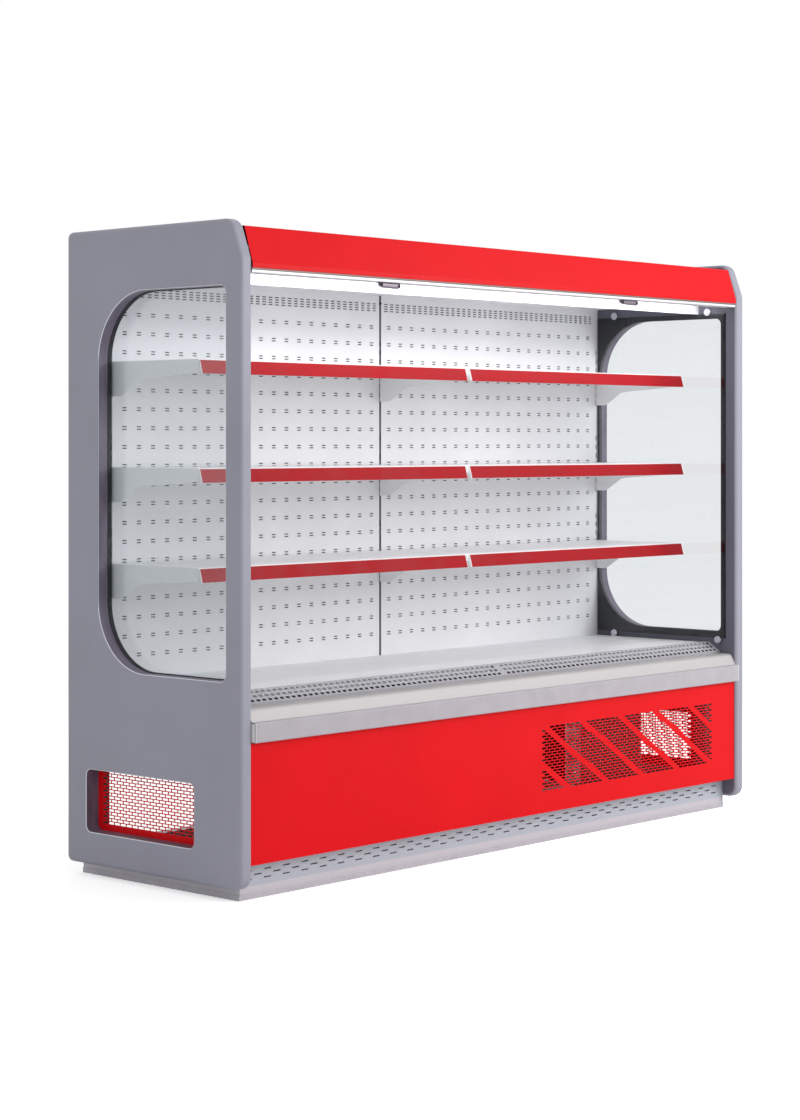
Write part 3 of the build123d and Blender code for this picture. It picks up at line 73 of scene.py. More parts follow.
def colour_property(name, description, code):
    """A colour that a user may change, from its sRGB hex code."""
    return FloatVectorProperty(
        name=name, description=description, subtype="COLOR", size=4, min=0, max=1, default=linear(code)
    )


def length_property(name, description, metres):
    """A length that a user may change."""
    return FloatProperty(
        name=name, description=description, subtype="DISTANCE", unit="LENGTH", default=metres
    )


# ------------------------------------------------------------------ what a user may change
class FridgeColours(bpy.types.PropertyGroup):
    end_panel: colour_property("End panels", "Powder coat of the two end panels", "#9797A5")
    # Painted highlight on the rounded lip of the window and the vent
    lip: colour_property("Window lip highlight", "Painted highlight on the rounded lip of the openings", "#E4E7EF")
    # Dark edge profile of the openings, darkened partly with painted shade of the recess
    reveal: colour_property("Opening reveals", "Edge profile round the window and the vent, with painted shade", "#6E6677")
    red: colour_property("Red sheets", "Powder coat of fascia, front panel and side grilles", "#DC1119")
    rail: colour_property("Price rails", "Solid colour of the PVC price rails", "#9E141C")
    white: colour_property("White sheets", "Powder coat of back panels, deck and ceiling", "#EBEBEE")
    # A lighter copy of the white sheets' coat, as painted light on the shelves and brackets
    shelf: colour_property("Shelves", "White of the shelves and their brackets, lightened as painted light", "#F4F4F6")
    grille: colour_property("Return grilles", "Powder coat of the return-air grilles", "#AEADB3")
    # Painted shade on the inner side of the end panels, whose coat is the same grey as outside
    inner_skin_shade: colour_property("Inner skin shade", "Painted shade on the inner side of the end panels", "#6A6A78")
    # Painted shade on the foamed body inside the air duct and over the machine space, also used for the
    # painted shade in the upright slots
    duct: colour_property("Duct shade", "Painted shade on the foamed body inside the air duct", "#303236")
    insulation: colour_property("Foamed body", "Coated skin of back wall, roof and tub", "#D5D8DA")
    rubber: colour_property("Rubber", "Gasket round each glass pane", "#15141A")
    bumper: colour_property("Bumper band", "Grey extrusion under the nosing", "#ADA9AF")
    nosing: colour_property("Nosing", "Cream anodised nosing", "#B2AEAF")
    bars: colour_property("Bars", "Anodised canopy trim and blind bars", "#DCDAE0")
    groove: colour_property("Trim groove", "Shadowed groove along the canopy trim", "#5E544F")
    plinth: colour_property("Plinth", "Perforated plinth sheet", "#B6BEC8")
    foot_rail: colour_property("Foot rail", "Stepped rail along the floor", "#C8C4CC")
    zinc: colour_property("Zinc", "Hot-dip galvanised frame and sheets", "#A2A6AA")
    cloth: colour_property("Blind cloth", "Woven night blind", "#D9D9DC")
    glass: colour_property("Glass", "Tint of the toughened panes", "#F3F5F6")
    black_plastic: colour_property("Black plastic", "Fan wheels and controller", "#17171A")
    enamel: colour_property("Compressor enamel", "Black stove enamel", "#141416")
    copper: colour_property("Copper", "Refrigerant pipes", "#B46E4B")
    pipe_plastic: colour_property("Grey plastic", "Drain pipe and terminal box", "#9EA2A6")
    handle: colour_property("Blind handle", "Chromed plastic of the pull", "#6E646E")
    display: colour_property("Display", "Lit segments of the controller", "#FF3A20")


class FridgeSizes(bpy.types.PropertyGroup):
    screw_head: length_property("Screw head", "Diameter of the pan-head screws", 0.008)
    joint_screw: length_property("Joint screw", "Diameter of the screw between the back panels", 0.011)
    disc_face: length_property("Disc face", "Diameter of the turned face on a glass fixing disc", 0.0264)
    cell: length_property("Honeycomb cell", "Width of a cell across its flats", 0.0118)
    cell_wall: length_property("Honeycomb wall", "Thickness of a cell wall", 0.0007)
    handle_length: length_property("Handle length", "Length of a blind pull", 0.1)
    handle_drop: length_property("Handle drop", "How far a blind pull hangs below the bar's top", 0.0335)
    end_cap: length_property("Bumper end cap", "Thickness of the caps at the ends of the bumper", 0.0016)
    rail_cap: length_property("Price rail cap", "Thickness of the caps on a price rail", 0.0012)
    thread: length_property("Cloth thread", "Spacing of the threads in the blind cloth", 0.0016)
    spangle: length_property("Zinc spangle", "Size of a zinc crystal", 0.012)
    cloth_rows: IntProperty(name="Cloth rows", description="Rows of faces down a blind", default=28, min=4)


class FridgeStage(bpy.types.PropertyGroup):
    floor: colour_property("Floor", "Plain pale floor", "#F4F4F4")
    floor_size: length_property("Floor size", "Side of the floor", 60.0)
    lift: FloatProperty(name="Floor lift", description="Light that the floor adds for the camera alone",
                        default=0.5, min=0)
    sky: FloatProperty(name="Sky", description="Strength of the even light all round", default=0.75, min=0)
    key: FloatProperty(name="Key lamp", description="Power of the large soft lamp in front", subtype="POWER",
                       unit="POWER", default=230.0)
    canopy: FloatProperty(name="Canopy lamps", description="Power of the light that the lamp tubes give",
                          subtype="POWER", unit="POWER", default=2.6)


# ------------------------------------------------------------------ nodes
NOISE_SPAN = {1: 0.25, 2: 0.75}  # From Min and From Max of a Map Range that take in nearly all of a noise
NOISE_CORE = {1: 0.375, 2: 0.625}  # the middle half of that span


def add(tree, kind, inputs=None, **settings):
    """A node with its settings. Each input, named or counted among those in use, gets a value or a link,
    and a node given as its value stands for that node's first output in use."""
    node = tree.nodes.new(kind)
    for name, value in settings.items():
        setattr(node, name, value)
    used = [socket for socket in node.inputs if socket.enabled]
    for name, value in (inputs or {}).items():
        target = used[name] if isinstance(name, int) else node.inputs[name]
        if isinstance(value, bpy.types.Node):
            value = next(socket for socket in value.outputs if socket.enabled)
        if isinstance(value, bpy.types.NodeSocket):
            tree.links.new(value, target)
        else:
            target.default_value = value
    return node


def material(name, draw, *values):
    """A material whose surface is the shader that a finish draws from the object coordinates."""
    made = bpy.data.materials.new(name)
    made.use_nodes = True
    tree = made.node_tree
    tree.nodes.clear()
    place = add(tree, "ShaderNodeTexCoord").outputs["Object"]
    add(tree, "ShaderNodeOutputMaterial", {"Surface": draw(tree, place, *values)})
    return made


def noise(tree, place, size, detail, stretch=(1, 1, 1)):
    """Noise whose features are about size metres across, and longer where the stretch is under 1."""
    mapped = add(tree, "ShaderNodeMapping", {"Vector": place, "Scale": stretch})
    return add(tree, "ShaderNodeTexNoise", {"Vector": mapped, "Scale": 1 / size, "Detail": detail})


def grain(tree, place, size, detail, strength, depth):
    """The relief of a noise: its size and its depth in metres, and how strongly it shows."""
    height = noise(tree, place, size, detail)
    return add(tree, "ShaderNodeBump", {"Height": height, "Strength": strength, "Distance": depth})


def within(tree, vector, **ranges):
    """1 where the named parts of a vector, X, Y or Z, lie in their ranges, and 0 elsewhere."""
    parts = add(tree, "ShaderNodeSeparateXYZ", {0: vector}).outputs
    share = 1.0
    for part, (low, high) in ranges.items():
        test = {0: parts[part], 1: (low + high) / 2, 2: (high - low) / 2}
        inside = add(tree, "ShaderNodeMath", test, operation="COMPARE")
        share = add(tree, "ShaderNodeMath", {0: share, 1: inside}, operation="MULTIPLY")
    return share


def layered(tree, tone, *layers):
    """A colour with others laid over it in turn, each as far as its mask lets it show."""
    for mask, colour in layers:
        tone = add(tree, "ShaderNodeMix", {0: mask, 1: tone, 2: colour}, data_type="RGBA")
    return tone


def scaled(colour, amount):
    """A darker or lighter shade of a colour."""
    return tuple(min(1.0, channel * amount) for channel in colour[:3]) + (1.0,)


def shades(tree, pattern, colour, first, second):
    """A colour that goes with a noise from one shade of itself to another."""
    share = add(tree, "ShaderNodeMapRange", {0: pattern, **NOISE_SPAN})
    return layered(tree, scaled(colour, first), (share, scaled(colour, second)))


# ------------------------------------------------------------------ finishes
ORANGE_PEEL = (0.004, 1, 0.12, 0.0003)  # grain of sprayed powder, about 2.5 mm across and drawn as 4 mm
WAVE_BAND = math.pi / 10  # width of a band of the wave texture at scale 1, in metres
WHITE = (1, 1, 1, 1)

# Where a finish changes on its piece, in metres
WINDOW = {"Y": (-0.333, 0.251), "Z": (0.648, 1.834)}
VENT = {"Y": (-0.192, 0.312), "Z": (0.141, 0.344)}
# Inner side of the end panels, which gets painted shade
INNER_SHADE_SIDE = {"X": (-1.2515, 1.2515)}
FOOT_RAIL = {"Z": (-0.01, 0.0383)}
# Machine space, where the foamed body gets a darker painted shade
MACHINE_SHADE_SPACE = {"Z": (0.0, 0.47)}
# Joint between the back panels, where the upright slots are drawn as a line of painted shade
SLOT_SHADE_LINE = {"X": (-0.0075, 0.0075)}
TRIM_GROOVE = {"Z": (1.8770, 1.8815)}
# Upper edge of the trim, which gets a painted reflection of the red fascia
TRIM_RED_REFLECTION = {"Z": (1.8815, 1.9)}

# Which way a face looks where a finish changes, as the range of its normal
# Reveal faces of the openings: edge profile, darkened partly with painted shade
LINING_AND_SHADE_FACE = {"X": (-0.5, 0.5)}
# Rounded lip of the openings, which gets a painted highlight
LIP_HIGHLIGHT_FACE = {"X": (-0.93, 0.93)}
# Faces towards the air duct, which get painted shade
DUCT_SHADE_FACE = {"Y": (-2.0, -0.5)}
NOT_REAR_FACE = {"Y": (-2.0, 0.5)}


def powder_coat(tree, place, colour, roughness=0.42, gloss=0.3):
    """Polyester powder on sheet steel: even colour, satin, with faint orange peel and soft handling marks."""
    marks = {0: noise(tree, place, 0.05, 4), **NOISE_SPAN, 3: roughness - 0.05, 4: roughness + 0.06}
    return add(tree, "ShaderNodeBsdfPrincipled", {
        "Base Color": shades(tree, noise(tree, place, 0.22, 3), colour, 0.965, 1.035),
        "Roughness": add(tree, "ShaderNodeMapRange", marks),
        "Specular IOR Level": gloss,
        "Normal": grain(tree, place, *ORANGE_PEEL),
    })


def end_panel_finish(tree, place, colours):
    """Powder coat, with painted shade on the inner side. The window and the vent are lined with a dark edge
    profile with fine streaks, darkened partly with painted shade, and a painted highlight on its rounded lip."""
    normal = add(tree, "ShaderNodeNewGeometry").outputs["Normal"]
    cloud = noise(tree, place, 0.25, 3)
    streak = noise(tree, place, 0.03, 2, (1, 0.2, 0.2))
    openings = {0: within(tree, place, **WINDOW), 1: within(tree, place, **VENT)}
    opening = add(tree, "ShaderNodeMath", openings, operation="MAXIMUM")
    edges = []
    for face in (LIP_HIGHLIGHT_FACE, LINING_AND_SHADE_FACE):
        edge = {0: opening, 1: within(tree, normal, **face)}
        edges.append(add(tree, "ShaderNodeMath", edge, operation="MULTIPLY"))
    tone = layered(
        tree, shades(tree, cloud, colours.end_panel, 0.96, 1.04),
        # painted shade on the inner side
        (within(tree, place, **INNER_SHADE_SIDE), shades(tree, cloud, colours.inner_skin_shade, 0.96, 1.04)),
        # painted highlight on the rounded lip
        (edges[0], colours.lip),
        # dark edge profile, darkened partly with painted shade
        (edges[1], shades(tree, streak, colours.reveal, 0.7, 1.2)),
    )
    marks = {0: noise(tree, place, 0.06, 4), **NOISE_SPAN, 3: 0.36, 4: 0.48}
    return add(tree, "ShaderNodeBsdfPrincipled", {
        "Base Color": tone,
        "Roughness": add(tree, "ShaderNodeMapRange", marks),
        "Specular IOR Level": 0.3,
        "Normal": grain(tree, place, *ORANGE_PEEL),
    })


def brushed_metal(tree, place, colour, roughness=0.34, metallic=0.75, stretch=(0.02, 1, 1)):
    """Anodised aluminium drawn lengthwise: fine lines along X, a soft sheen and a slight milky skin. The
    lines are about 0.3 mm apart and are drawn at 1.5 mm so that they show. With an even stretch it is the
    fine grain of turned steel or of chromed plastic."""
    lines = noise(tree, place, 0.0015, 3, stretch)
    rough = {0: lines, **NOISE_SPAN, 3: roughness - 0.06, 4: roughness + 0.08}
    return add(tree, "ShaderNodeBsdfPrincipled", {
        "Base Color": shades(tree, lines, colour, 0.94, 1.05),
        "Metallic": metallic,
        "Roughness": add(tree, "ShaderNodeMapRange", rough),
        "Normal": add(tree, "ShaderNodeBump", {"Height": lines, "Strength": 0.08, "Distance": 0.0002}),
    })


def toughened_glass(tree, place, colour):
    """Float glass, 6 mm, with a faint ripple: nearly clear, it mirrors 4 % of the light head-on and all of
    it at a glancing angle."""
    ripple = grain(tree, place, 0.35, 1, 0.02, 0.002)
    facing = add(tree, "ShaderNodeLayerWeight", {"Blend": 0.5, "Normal": ripple}).outputs["Facing"]
    glance = add(tree, "ShaderNodeMath", {0: facing, 1: 5.0}, operation="POWER")
    return add(tree, "ShaderNodeMixShader", {
        0: add(tree, "ShaderNodeMapRange", {0: glance, 3: 0.04, 4: 1.0}),
        1: add(tree, "ShaderNodeBsdfTransparent", {"Color": colour}),
        2: add(tree, "ShaderNodeBsdfAnisotropic", {"Color": WHITE, "Roughness": 0.02, "Normal": ripple}),
    })


def rubber(tree, place, colour):
    """EPDM: nearly black, dull, with a fine moulded grain and dusty patches."""
    dust = noise(tree, place, 0.04, 4)
    return add(tree, "ShaderNodeBsdfPrincipled", {
        "Base Color": shades(tree, dust, colour, 1.0, 1.9),
        "Roughness": add(tree, "ShaderNodeMapRange", {0: dust, **NOISE_CORE, 3: 0.5, 4: 0.72}),
        "Normal": grain(tree, place, 0.0015, 2, 0.2, 0.0002),
    })


def moulded_plastic(tree, place, colour, roughness=0.45, size=0.0018, gloss=0.3):
    """Moulded or extruded plastic: even colour, a fine grain and faint flow clouds."""
    cloud = noise(tree, place, 0.06, 3)
    rough = {0: cloud, **NOISE_CORE, 3: roughness - 0.05, 4: roughness + 0.08}
    return add(tree, "ShaderNodeBsdfPrincipled", {
        "Base Color": shades(tree, cloud, colour, 0.93, 1.07),
        "Roughness": add(tree, "ShaderNodeMapRange", rough),
        "Specular IOR Level": gloss,
        "Normal": grain(tree, place, size, 2, 0.15, 0.0002),
    })


def galvanised(tree, place, colour, spangle):
    """Hot-dip zinc: a patchwork of grey crystals about 12 mm across, each with its own sheen."""
    crystals = add(tree, "ShaderNodeTexVoronoi", {"Vector": place, "Scale": 1 / spangle}).outputs["Color"]
    patch = add(tree, "ShaderNodeSeparateColor", {0: crystals}).outputs
    return add(tree, "ShaderNodeBsdfPrincipled", {
        "Base Color": layered(tree, scaled(colour, 0.82), (patch["Red"], scaled(colour, 1.12))),
        "Metallic": 0.7,
        "Roughness": add(tree, "ShaderNodeMapRange", {0: patch["Green"], 3: 0.32, 4: 0.58}),
        "Normal": grain(tree, place, 0.006, 3, 0.1, 0.0003),
    })


def coated_plinth(tree, place, colours):
    """Pre-coated sheet: cooler above, and below 38 mm the warmer extruded rail, scuffed near the floor."""
    height = add(tree, "ShaderNodeSeparateXYZ", {0: place}).outputs["Z"]
    near = add(tree, "ShaderNodeMapRange", {0: height, 1: 0.0, 2: 0.03, 3: 0.5, 4: 0.05})
    scuff = noise(tree, place, 0.012, 5, (0.3, 0.3, 1))
    tone = layered(
        tree, colours.plinth, (within(tree, place, **FOOT_RAIL), colours.foot_rail),
        (add(tree, "ShaderNodeMapRange", {0: scuff, **NOISE_SPAN, 4: near}), scaled(colours.foot_rail, 0.55)),
    )
    return add(tree, "ShaderNodeBsdfPrincipled", {
        "Base Color": tone,
        "Metallic": 0.25,
        "Roughness": add(tree, "ShaderNodeMapRange", {0: scuff, **NOISE_SPAN, 3: 0.36, 4: 0.5}),
        "Normal": grain(tree, place, 0.004, 2, 0.1, 0.0003),
    })


def stucco_skin(tree, place, colour, duct):
    """Coated skin on foam: stucco-embossed, about 9 mm between dimples, slightly wavy over the foam. Where it
    faces the air duct behind the back panels it gets painted shade, and over the machine space a darker one."""
    normal = add(tree, "ShaderNodeNewGeometry").outputs["Normal"]
    dimples = add(tree, "ShaderNodeTexVoronoi", {"Vector": place, "Scale": 1 / 0.009}, feature="SMOOTH_F1")
    wave = noise(tree, place, 0.4, 1)
    below = {0: within(tree, place, **MACHINE_SHADE_SPACE), 1: within(tree, normal, **NOT_REAR_FACE)}
    tone = layered(
        # painted shade where the skin faces the air duct, and a darker painted shade over the machine space
        tree, shades(tree, wave, colour, 0.96, 1.03), (within(tree, normal, **DUCT_SHADE_FACE), duct),
        (add(tree, "ShaderNodeMath", below, operation="MULTIPLY"), scaled(duct, 0.6)),
    )
    dents = {"Height": dimples.outputs["Distance"], "Strength": 0.25, "Distance": 0.0005}
    return add(tree, "ShaderNodeBsdfPrincipled", {
        "Base Color": tone,
        "Roughness": add(tree, "ShaderNodeMapRange", {0: wave, **NOISE_SPAN, 3: 0.4, 4: 0.5}),
        "Specular IOR Level": 0.35,
        "Normal": add(tree, "ShaderNodeBump", dents),
    })


def slotted_upright(tree, place, colours):
    """White powder coat on the shelf uprights; the run of hook slots that shows in the joint between the
    back panels is drawn as one dark line of painted shade inside the slots."""
    coat = shades(tree, noise(tree, place, 0.2, 3), colours.white, 0.96, 1.03)
    return add(tree, "ShaderNodeBsdfPrincipled", {
        # the slot line is painted shade
        "Base Color": layered(tree, coat, (within(tree, place, **SLOT_SHADE_LINE), scaled(colours.duct, 1.4))),
        "Roughness": 0.45,
        "Specular IOR Level": 0.25,
        "Normal": grain(tree, place, *ORANGE_PEEL),
    })


def canopy_trim_finish(tree, place, colours):
    """Anodised trim under the fascia: an upper edge with a painted reflection of the red above it, one
    shadowed groove and the plain silver face below."""
    lines = noise(tree, place, 0.0015, 3, (0.02, 1, 1))
    tone = layered(
        tree, shades(tree, lines, colours.bars, 0.95, 1.04),
        # painted reflection of the red fascia on the upper edge
        (within(tree, place, **TRIM_RED_REFLECTION), linear("#A88C88")),
        (within(tree, place, **TRIM_GROOVE), colours.groove),
    )
    return add(tree, "ShaderNodeBsdfPrincipled", {
        "Base Color": tone,
        "Metallic": 0.3,
        "Roughness": add(tree, "ShaderNodeMapRange", {0: lines, **NOISE_SPAN, 3: 0.36, 4: 0.5}),
        "Normal": add(tree, "ShaderNodeBump", {"Height": lines, "Strength": 0.08, "Distance": 0.0002}),
    })


def woven_cloth(tree, place, colour, thread):
    """Plain-woven polyester of the night blind: fine threads both ways, about 0.5 mm apart and drawn
    coarser so that they show, with a soft sheen and thicker threads here and there."""
    axes = add(tree, "ShaderNodeSeparateXYZ", {0: place}).outputs
    ribs = []
    for axis in ("X", "Z"):
        turns = add(tree, "ShaderNodeMath", {0: axes[axis], 1: 2 * math.pi / thread}, operation="MULTIPLY")
        ribs.append(add(tree, "ShaderNodeMath", {0: turns}, operation="SINE"))
    weave = add(tree, "ShaderNodeMath", {0: ribs[0], 1: ribs[1]}, operation="MULTIPLY")
    crossings = add(tree, "ShaderNodeMapRange", {0: weave, 1: -1.0, 2: 1.0, 4: 0.25})
    slub = shades(tree, noise(tree, place, 0.004, 2, (0.08, 1, 1)), colour, 0.88, 1.04)
    return add(tree, "ShaderNodeBsdfPrincipled", {
        "Base Color": layered(tree, slub, (crossings, scaled(colour, 0.7))),
        "Roughness": 0.85,
        "Sheen Weight": 0.25,
        "Specular IOR Level": 0.2,
        "Normal": add(tree, "ShaderNodeBump", {"Height": weave, "Strength": 0.35, "Distance": 0.0003}),
    })


def fin_stock(tree, place, colour, pitch=0.006):
    """Aluminium fin stock: thin bright sheet, slightly dusty, with shallow ribs pressed across it."""
    dust = noise(tree, place, 0.03, 4)
    wave = add(tree, "ShaderNodeTexWave", {"Vector": place, "Scale": WAVE_BAND / pitch}, bands_direction="Z")
    ribs = {"Height": wave.outputs["Fac"], "Strength": 0.2, "Distance": 0.0004}
    return add(tree, "ShaderNodeBsdfPrincipled", {
        "Base Color": shades(tree, dust, colour, 1.0, 0.72),
        "Metallic": 0.85,
        "Roughness": add(tree, "ShaderNodeMapRange", {0: dust, **NOISE_CORE, 3: 0.32, 4: 0.5}),
        "Normal": add(tree, "ShaderNodeBump", ribs),
    })


def copper_tube(tree, place, colour):
    """Drawn copper tube: warm metal, duller and browner where hands and brazing left their marks."""
    stain = noise(tree, place, 0.025, 4)
    browned = add(tree, "ShaderNodeMapRange", {0: stain, **NOISE_SPAN})
    return add(tree, "ShaderNodeBsdfPrincipled", {
        "Base Color": layered(tree, colour, (browned, linear("#7A4A34"))),
        "Metallic": 0.95,
        "Roughness": add(tree, "ShaderNodeMapRange", {0: stain, **NOISE_CORE, 3: 0.22, 4: 0.48}),
        "Normal": grain(tree, place, 0.003, 2, 0.06, 0.0002),
    })


def stove_enamel(tree, place, colour):
    """Black stove enamel on a pressed can: glossy, with slight runs and a dusty upper side."""
    normal = add(tree, "ShaderNodeNewGeometry").outputs["Normal"]
    upward = add(tree, "ShaderNodeSeparateXYZ", {0: normal}).outputs["Z"]
    layer = {
        0: add(tree, "ShaderNodeMapRange", {0: upward, 1: 0.4, 2: 1.0, 4: 0.4}),
        1: add(tree, "ShaderNodeMapRange", {0: noise(tree, place, 0.02, 4), **NOISE_SPAN, 3: 0.2}),
    }
    dust = add(tree, "ShaderNodeMath", layer, operation="MULTIPLY")
    runs = {0: noise(tree, place, 0.03, 3), **NOISE_SPAN, 3: 0.22, 4: 0.36}
    return add(tree, "ShaderNodeBsdfPrincipled", {
        "Base Color": layered(tree, colour, (dust, linear("#5A5854"))),
        "Roughness": add(tree, "ShaderNodeMapRange", runs),
        "Normal": grain(tree, place, 0.012, 2, 0.08, 0.0005),
    })


def lamp_diffuser(tree, place, rib=0.004):
    """Opal polycarbonate lit from behind: soft white, with fine ribs along the lamp."""
    glow = add(tree, "ShaderNodeMapRange", {0: noise(tree, place, 0.03, 1, (1, 0.2, 0.2)), **NOISE_SPAN})
    wave = add(tree, "ShaderNodeTexWave", {"Vector": place, "Scale": WAVE_BAND / rib}, bands_direction="Z")
    ribs = {"Height": wave.outputs["Fac"], "Strength": 0.3, "Distance": 0.0003}
    return add(tree, "ShaderNodeBsdfPrincipled", {
        "Base Color": layered(tree, linear("#F2F2EE"), (glow, linear("#FFFFFC"))),
        "Roughness": 0.35,
        "Emission Color": linear("#FFFFFC"),
        "Emission Strength": 0.25,
        "Normal": add(tree, "ShaderNodeBump", ribs),
    })


def lit_segment(tree, place, colour):
    """Light-emitting segments behind a smoked window: bright, with slightly uneven light."""
    return add(tree, "ShaderNodeBsdfPrincipled", {
        "Base Color": shades(tree, noise(tree, place, 0.002, 1), colour, 1.0, 0.8),
        "Roughness": 0.4,
        "Emission Color": colour,
        "Emission Strength": 1.5,
    })


def all_finishes(colours, sizes):
    """Every finish of the fridge, by a short name."""
    even = (1, 1, 1)
    return {
        "panel": material("Powder-coated steel, grey end panel", end_panel_finish, colours),
        "red": material("Powder-coated steel, red", powder_coat, colours.red, 0.36, 0.07),
        "white": material("Powder-coated steel, white", powder_coat, colours.white, 0.4),
        # the white, lightened as painted light on the shelves
        "shelf": material("Powder-coated steel, shelf white", powder_coat, colours.shelf, 0.4),
        "grille": material("Powder-coated steel, grille grey", powder_coat, colours.grille, 0.42),
        "skin": material("Stucco-embossed coated skin", stucco_skin, colours.insulation, colours.duct),
        "upright": material("Powder-coated steel, slotted upright", slotted_upright, colours),
        "trim": material("Anodised aluminium, grooved trim", canopy_trim_finish, colours),
        "glass": material("Toughened float glass", toughened_glass, colours.glass),
        "rubber": material("EPDM rubber, black", rubber, colours.rubber),
        "disc": material("Stainless steel, turned", brushed_metal, linear("#D2D1DA"), 0.26, 0.9, even),
        "nosing": material("Anodised aluminium, cream", brushed_metal, colours.nosing, 0.5, 0.15),
        "bar": material("Anodised aluminium, silver", brushed_metal, colours.bars, 0.5, 0.2),
        "bumper": material("PVC bumper profile, grey", moulded_plastic, colours.bumper, 0.55, 0.003),
        "plinth": material("Pre-coated steel, plinth", coated_plinth, colours),
        "zinc": material("Galvanised steel, spangled", galvanised, colours.zinc, sizes.spangle),
        "cloth": material("Woven polyester, night blind", woven_cloth, colours.cloth, sizes.thread),
        "rail": material("PVC profile, red", moulded_plastic, colours.rail, 0.45, 0.004, 0.08),
        "rail_cap": material("Polystyrene cap, white", moulded_plastic, linear("#F0EDEE"), 0.35),
        "black": material("Glass-filled nylon, black", moulded_plastic, colours.black_plastic, 0.5),
        "cell": material("Polycarbonate honeycomb, white", moulded_plastic, linear("#E6E8E8"), 0.35),
        "lamp": material("Opal polycarbonate, lit", lamp_diffuser),
        "fins": material("Aluminium fin stock", fin_stock, linear("#C4C8CB")),
        "copper": material("Copper tube, drawn", copper_tube, colours.copper),
        "enamel": material("Stove enamel, black", stove_enamel, colours.enamel),
        "grey": material("PVC, light grey", moulded_plastic, colours.pipe_plastic, 0.45),
        "handle": material("Chromed plastic, blind pull", brushed_metal, colours.handle, 0.3, 0.6, even),
        "lit": material("Lit segments", lit_segment, colours.display),
    }


def node_finishes():
    """CAD node name to finish name."""
    table = {
        "glass_gaskets": "rubber", "glass_fixing_discs": "disc", "side_grilles": "red",
        "canopy_fascia": "red", "front_panel": "red", "back_wall": "skin", "roof_panel": "skin",
        "insulated_tub": "skin", "canopy_trim": "trim", "bumper_nosing": "nosing",
        "ceiling_panel": "white", "back_panels": "white", "deck_pans": "white",
        "return_air_grilles": "grille", "blind_brackets": "white", "shelf_uprights": "upright",
        "air_honeycomb": "cell", "led_lamps": "lamp", "bumper_band": "bumper", "plinth": "plinth",
        "base_frame": "zinc", "levelling_feet": "zinc", "evaporator_fan_plate": "zinc",
        "condensing_unit_base": "zinc", "condenser_fan_shroud": "zinc", "condenser_fan": "black",
        "temperature_controller": "black", "evaporator_coil": "fins", "condenser_coil": "fins",
        "compressor": "enamel", "refrigerant_pipes": "copper", "drain_pipe": "grey",
        "electrical_box": "grey",
    }
    for key in ("set", "up", "down"):
        table[f"controller_key_{key}"] = "grey"
    for side in SIDES:
        table |= {
            f"end_panel_{side}": "panel", f"end_glass_{side}": "glass", f"blind_roller_{side}": "cloth",
            f"blind_cloth_{side}": "cloth", f"blind_bar_{side}": "bar", f"evaporator_fan_{side}": "black",
        }
        for level in LEVELS:
            table |= {f"shelf_{level}_{side}": "shelf", f"price_rail_{level}_{side}": "rail"}
    return table


# ------------------------------------------------------------------ mesh helpers
HEX_FLAT = math.cos(math.pi / 6)  # from the middle of a hexagon to its side, for a corner radius of 1
SHARP_EDGE = math.radians(38)


def skin(loops, ring=False):
    """Corners and faces of a solid drawn through closed loops of equal count; a ring joins its two ends."""
    count = len(loops[0])
    corners = [tuple(point) for loop in loops for point in loop]
    faces = []
    for first in range(len(loops) if ring else len(loops) - 1):
        near, far = first * count, (first + 1) % len(loops) * count
        for step in range(count):
            after = (step + 1) % count
            faces.append((near + step, near + after, far + after, far + step))
    if not ring:
        faces.append(tuple(reversed(range(count))))
        faces.append(tuple(range(len(corners) - count, len(corners))))
    return corners, faces


def mesh_of(name, solids):
    """One mesh from several closed solids, faces outwards."""
    shape = bmesh.new()
    for corners, faces in solids:
        made = [shape.verts.new(corner) for corner in corners]
        for face in faces:
            shape.faces.new([made[index] for index in face])
    bmesh.ops.recalc_face_normals(shape, faces=shape.faces)
    mesh = bpy.data.meshes.new(name)
    shape.to_mesh(mesh)
    shape.free()
    mesh.shade_smooth()
    mesh.set_sharp_from_angle(angle=SHARP_EDGE)
    return mesh


def new_object(name, data):
    """An object in the scene that shows some data."""
    made = bpy.data.objects.new(name, data)
    bpy.context.scene.collection.objects.link(made)
    return made


def place_piece(mesh, finish, body):
    """A piece from a mesh, with its finish, that moves with a body of the frame where one is given."""
    mesh.materials.clear()
    mesh.materials.append(FINISHES[finish])
    piece = new_object(mesh.name, mesh)
    if body:
        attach(piece, body)
    return piece


def build_piece(name, solids, finish, body):
    """A piece from several closed solids."""
    return place_piece(mesh_of(name, solids), finish, body)


def turned(profile, sides):
    """Loops of a round solid about Z from its radius and height pairs."""
    turns = [2 * math.pi * step / sides for step in range(sides)]
    return [[(radius * math.cos(turn), radius * math.sin(turn), height) for turn in turns]
            for radius, height in profile]


def along_x(outline, low, high):
    """Solid with an outline in Y and Z, from low to high along X."""
    return skin([[(x, y, z) for y, z in outline] for x in (low, high)])


def rectangle(low, high, inset=0.0):
    """Corners of a rectangle in X and Y, moved inwards by the inset."""
    left, right = low[0] + inset, high[0] - inset
    front, rear = low[1] + inset, high[1] - inset
    return [(left, front), (right, front), (right, rear), (left, rear)]


def upright(outline, low, high):
    """Solid with an outline in X and Y, from low to high along Z."""
    return skin([[(x, y, z) for x, y in outline] for z in (low, high)])


def geometry_tree(name, sockets):
    """An empty Geometry Nodes tree, and the values that are given to it by name."""
    tree = bpy.data.node_groups.new(name, "GeometryNodeTree")
    tree.interface.new_socket("Geometry", in_out="INPUT", socket_type="NodeSocketGeometry")
    for label, kind in sockets.items():
        tree.interface.new_socket(label, in_out="INPUT", socket_type=kind)
    tree.interface.new_socket("Geometry", in_out="OUTPUT", socket_type="NodeSocketGeometry")
    return tree, add(tree, "NodeGroupInput").outputs


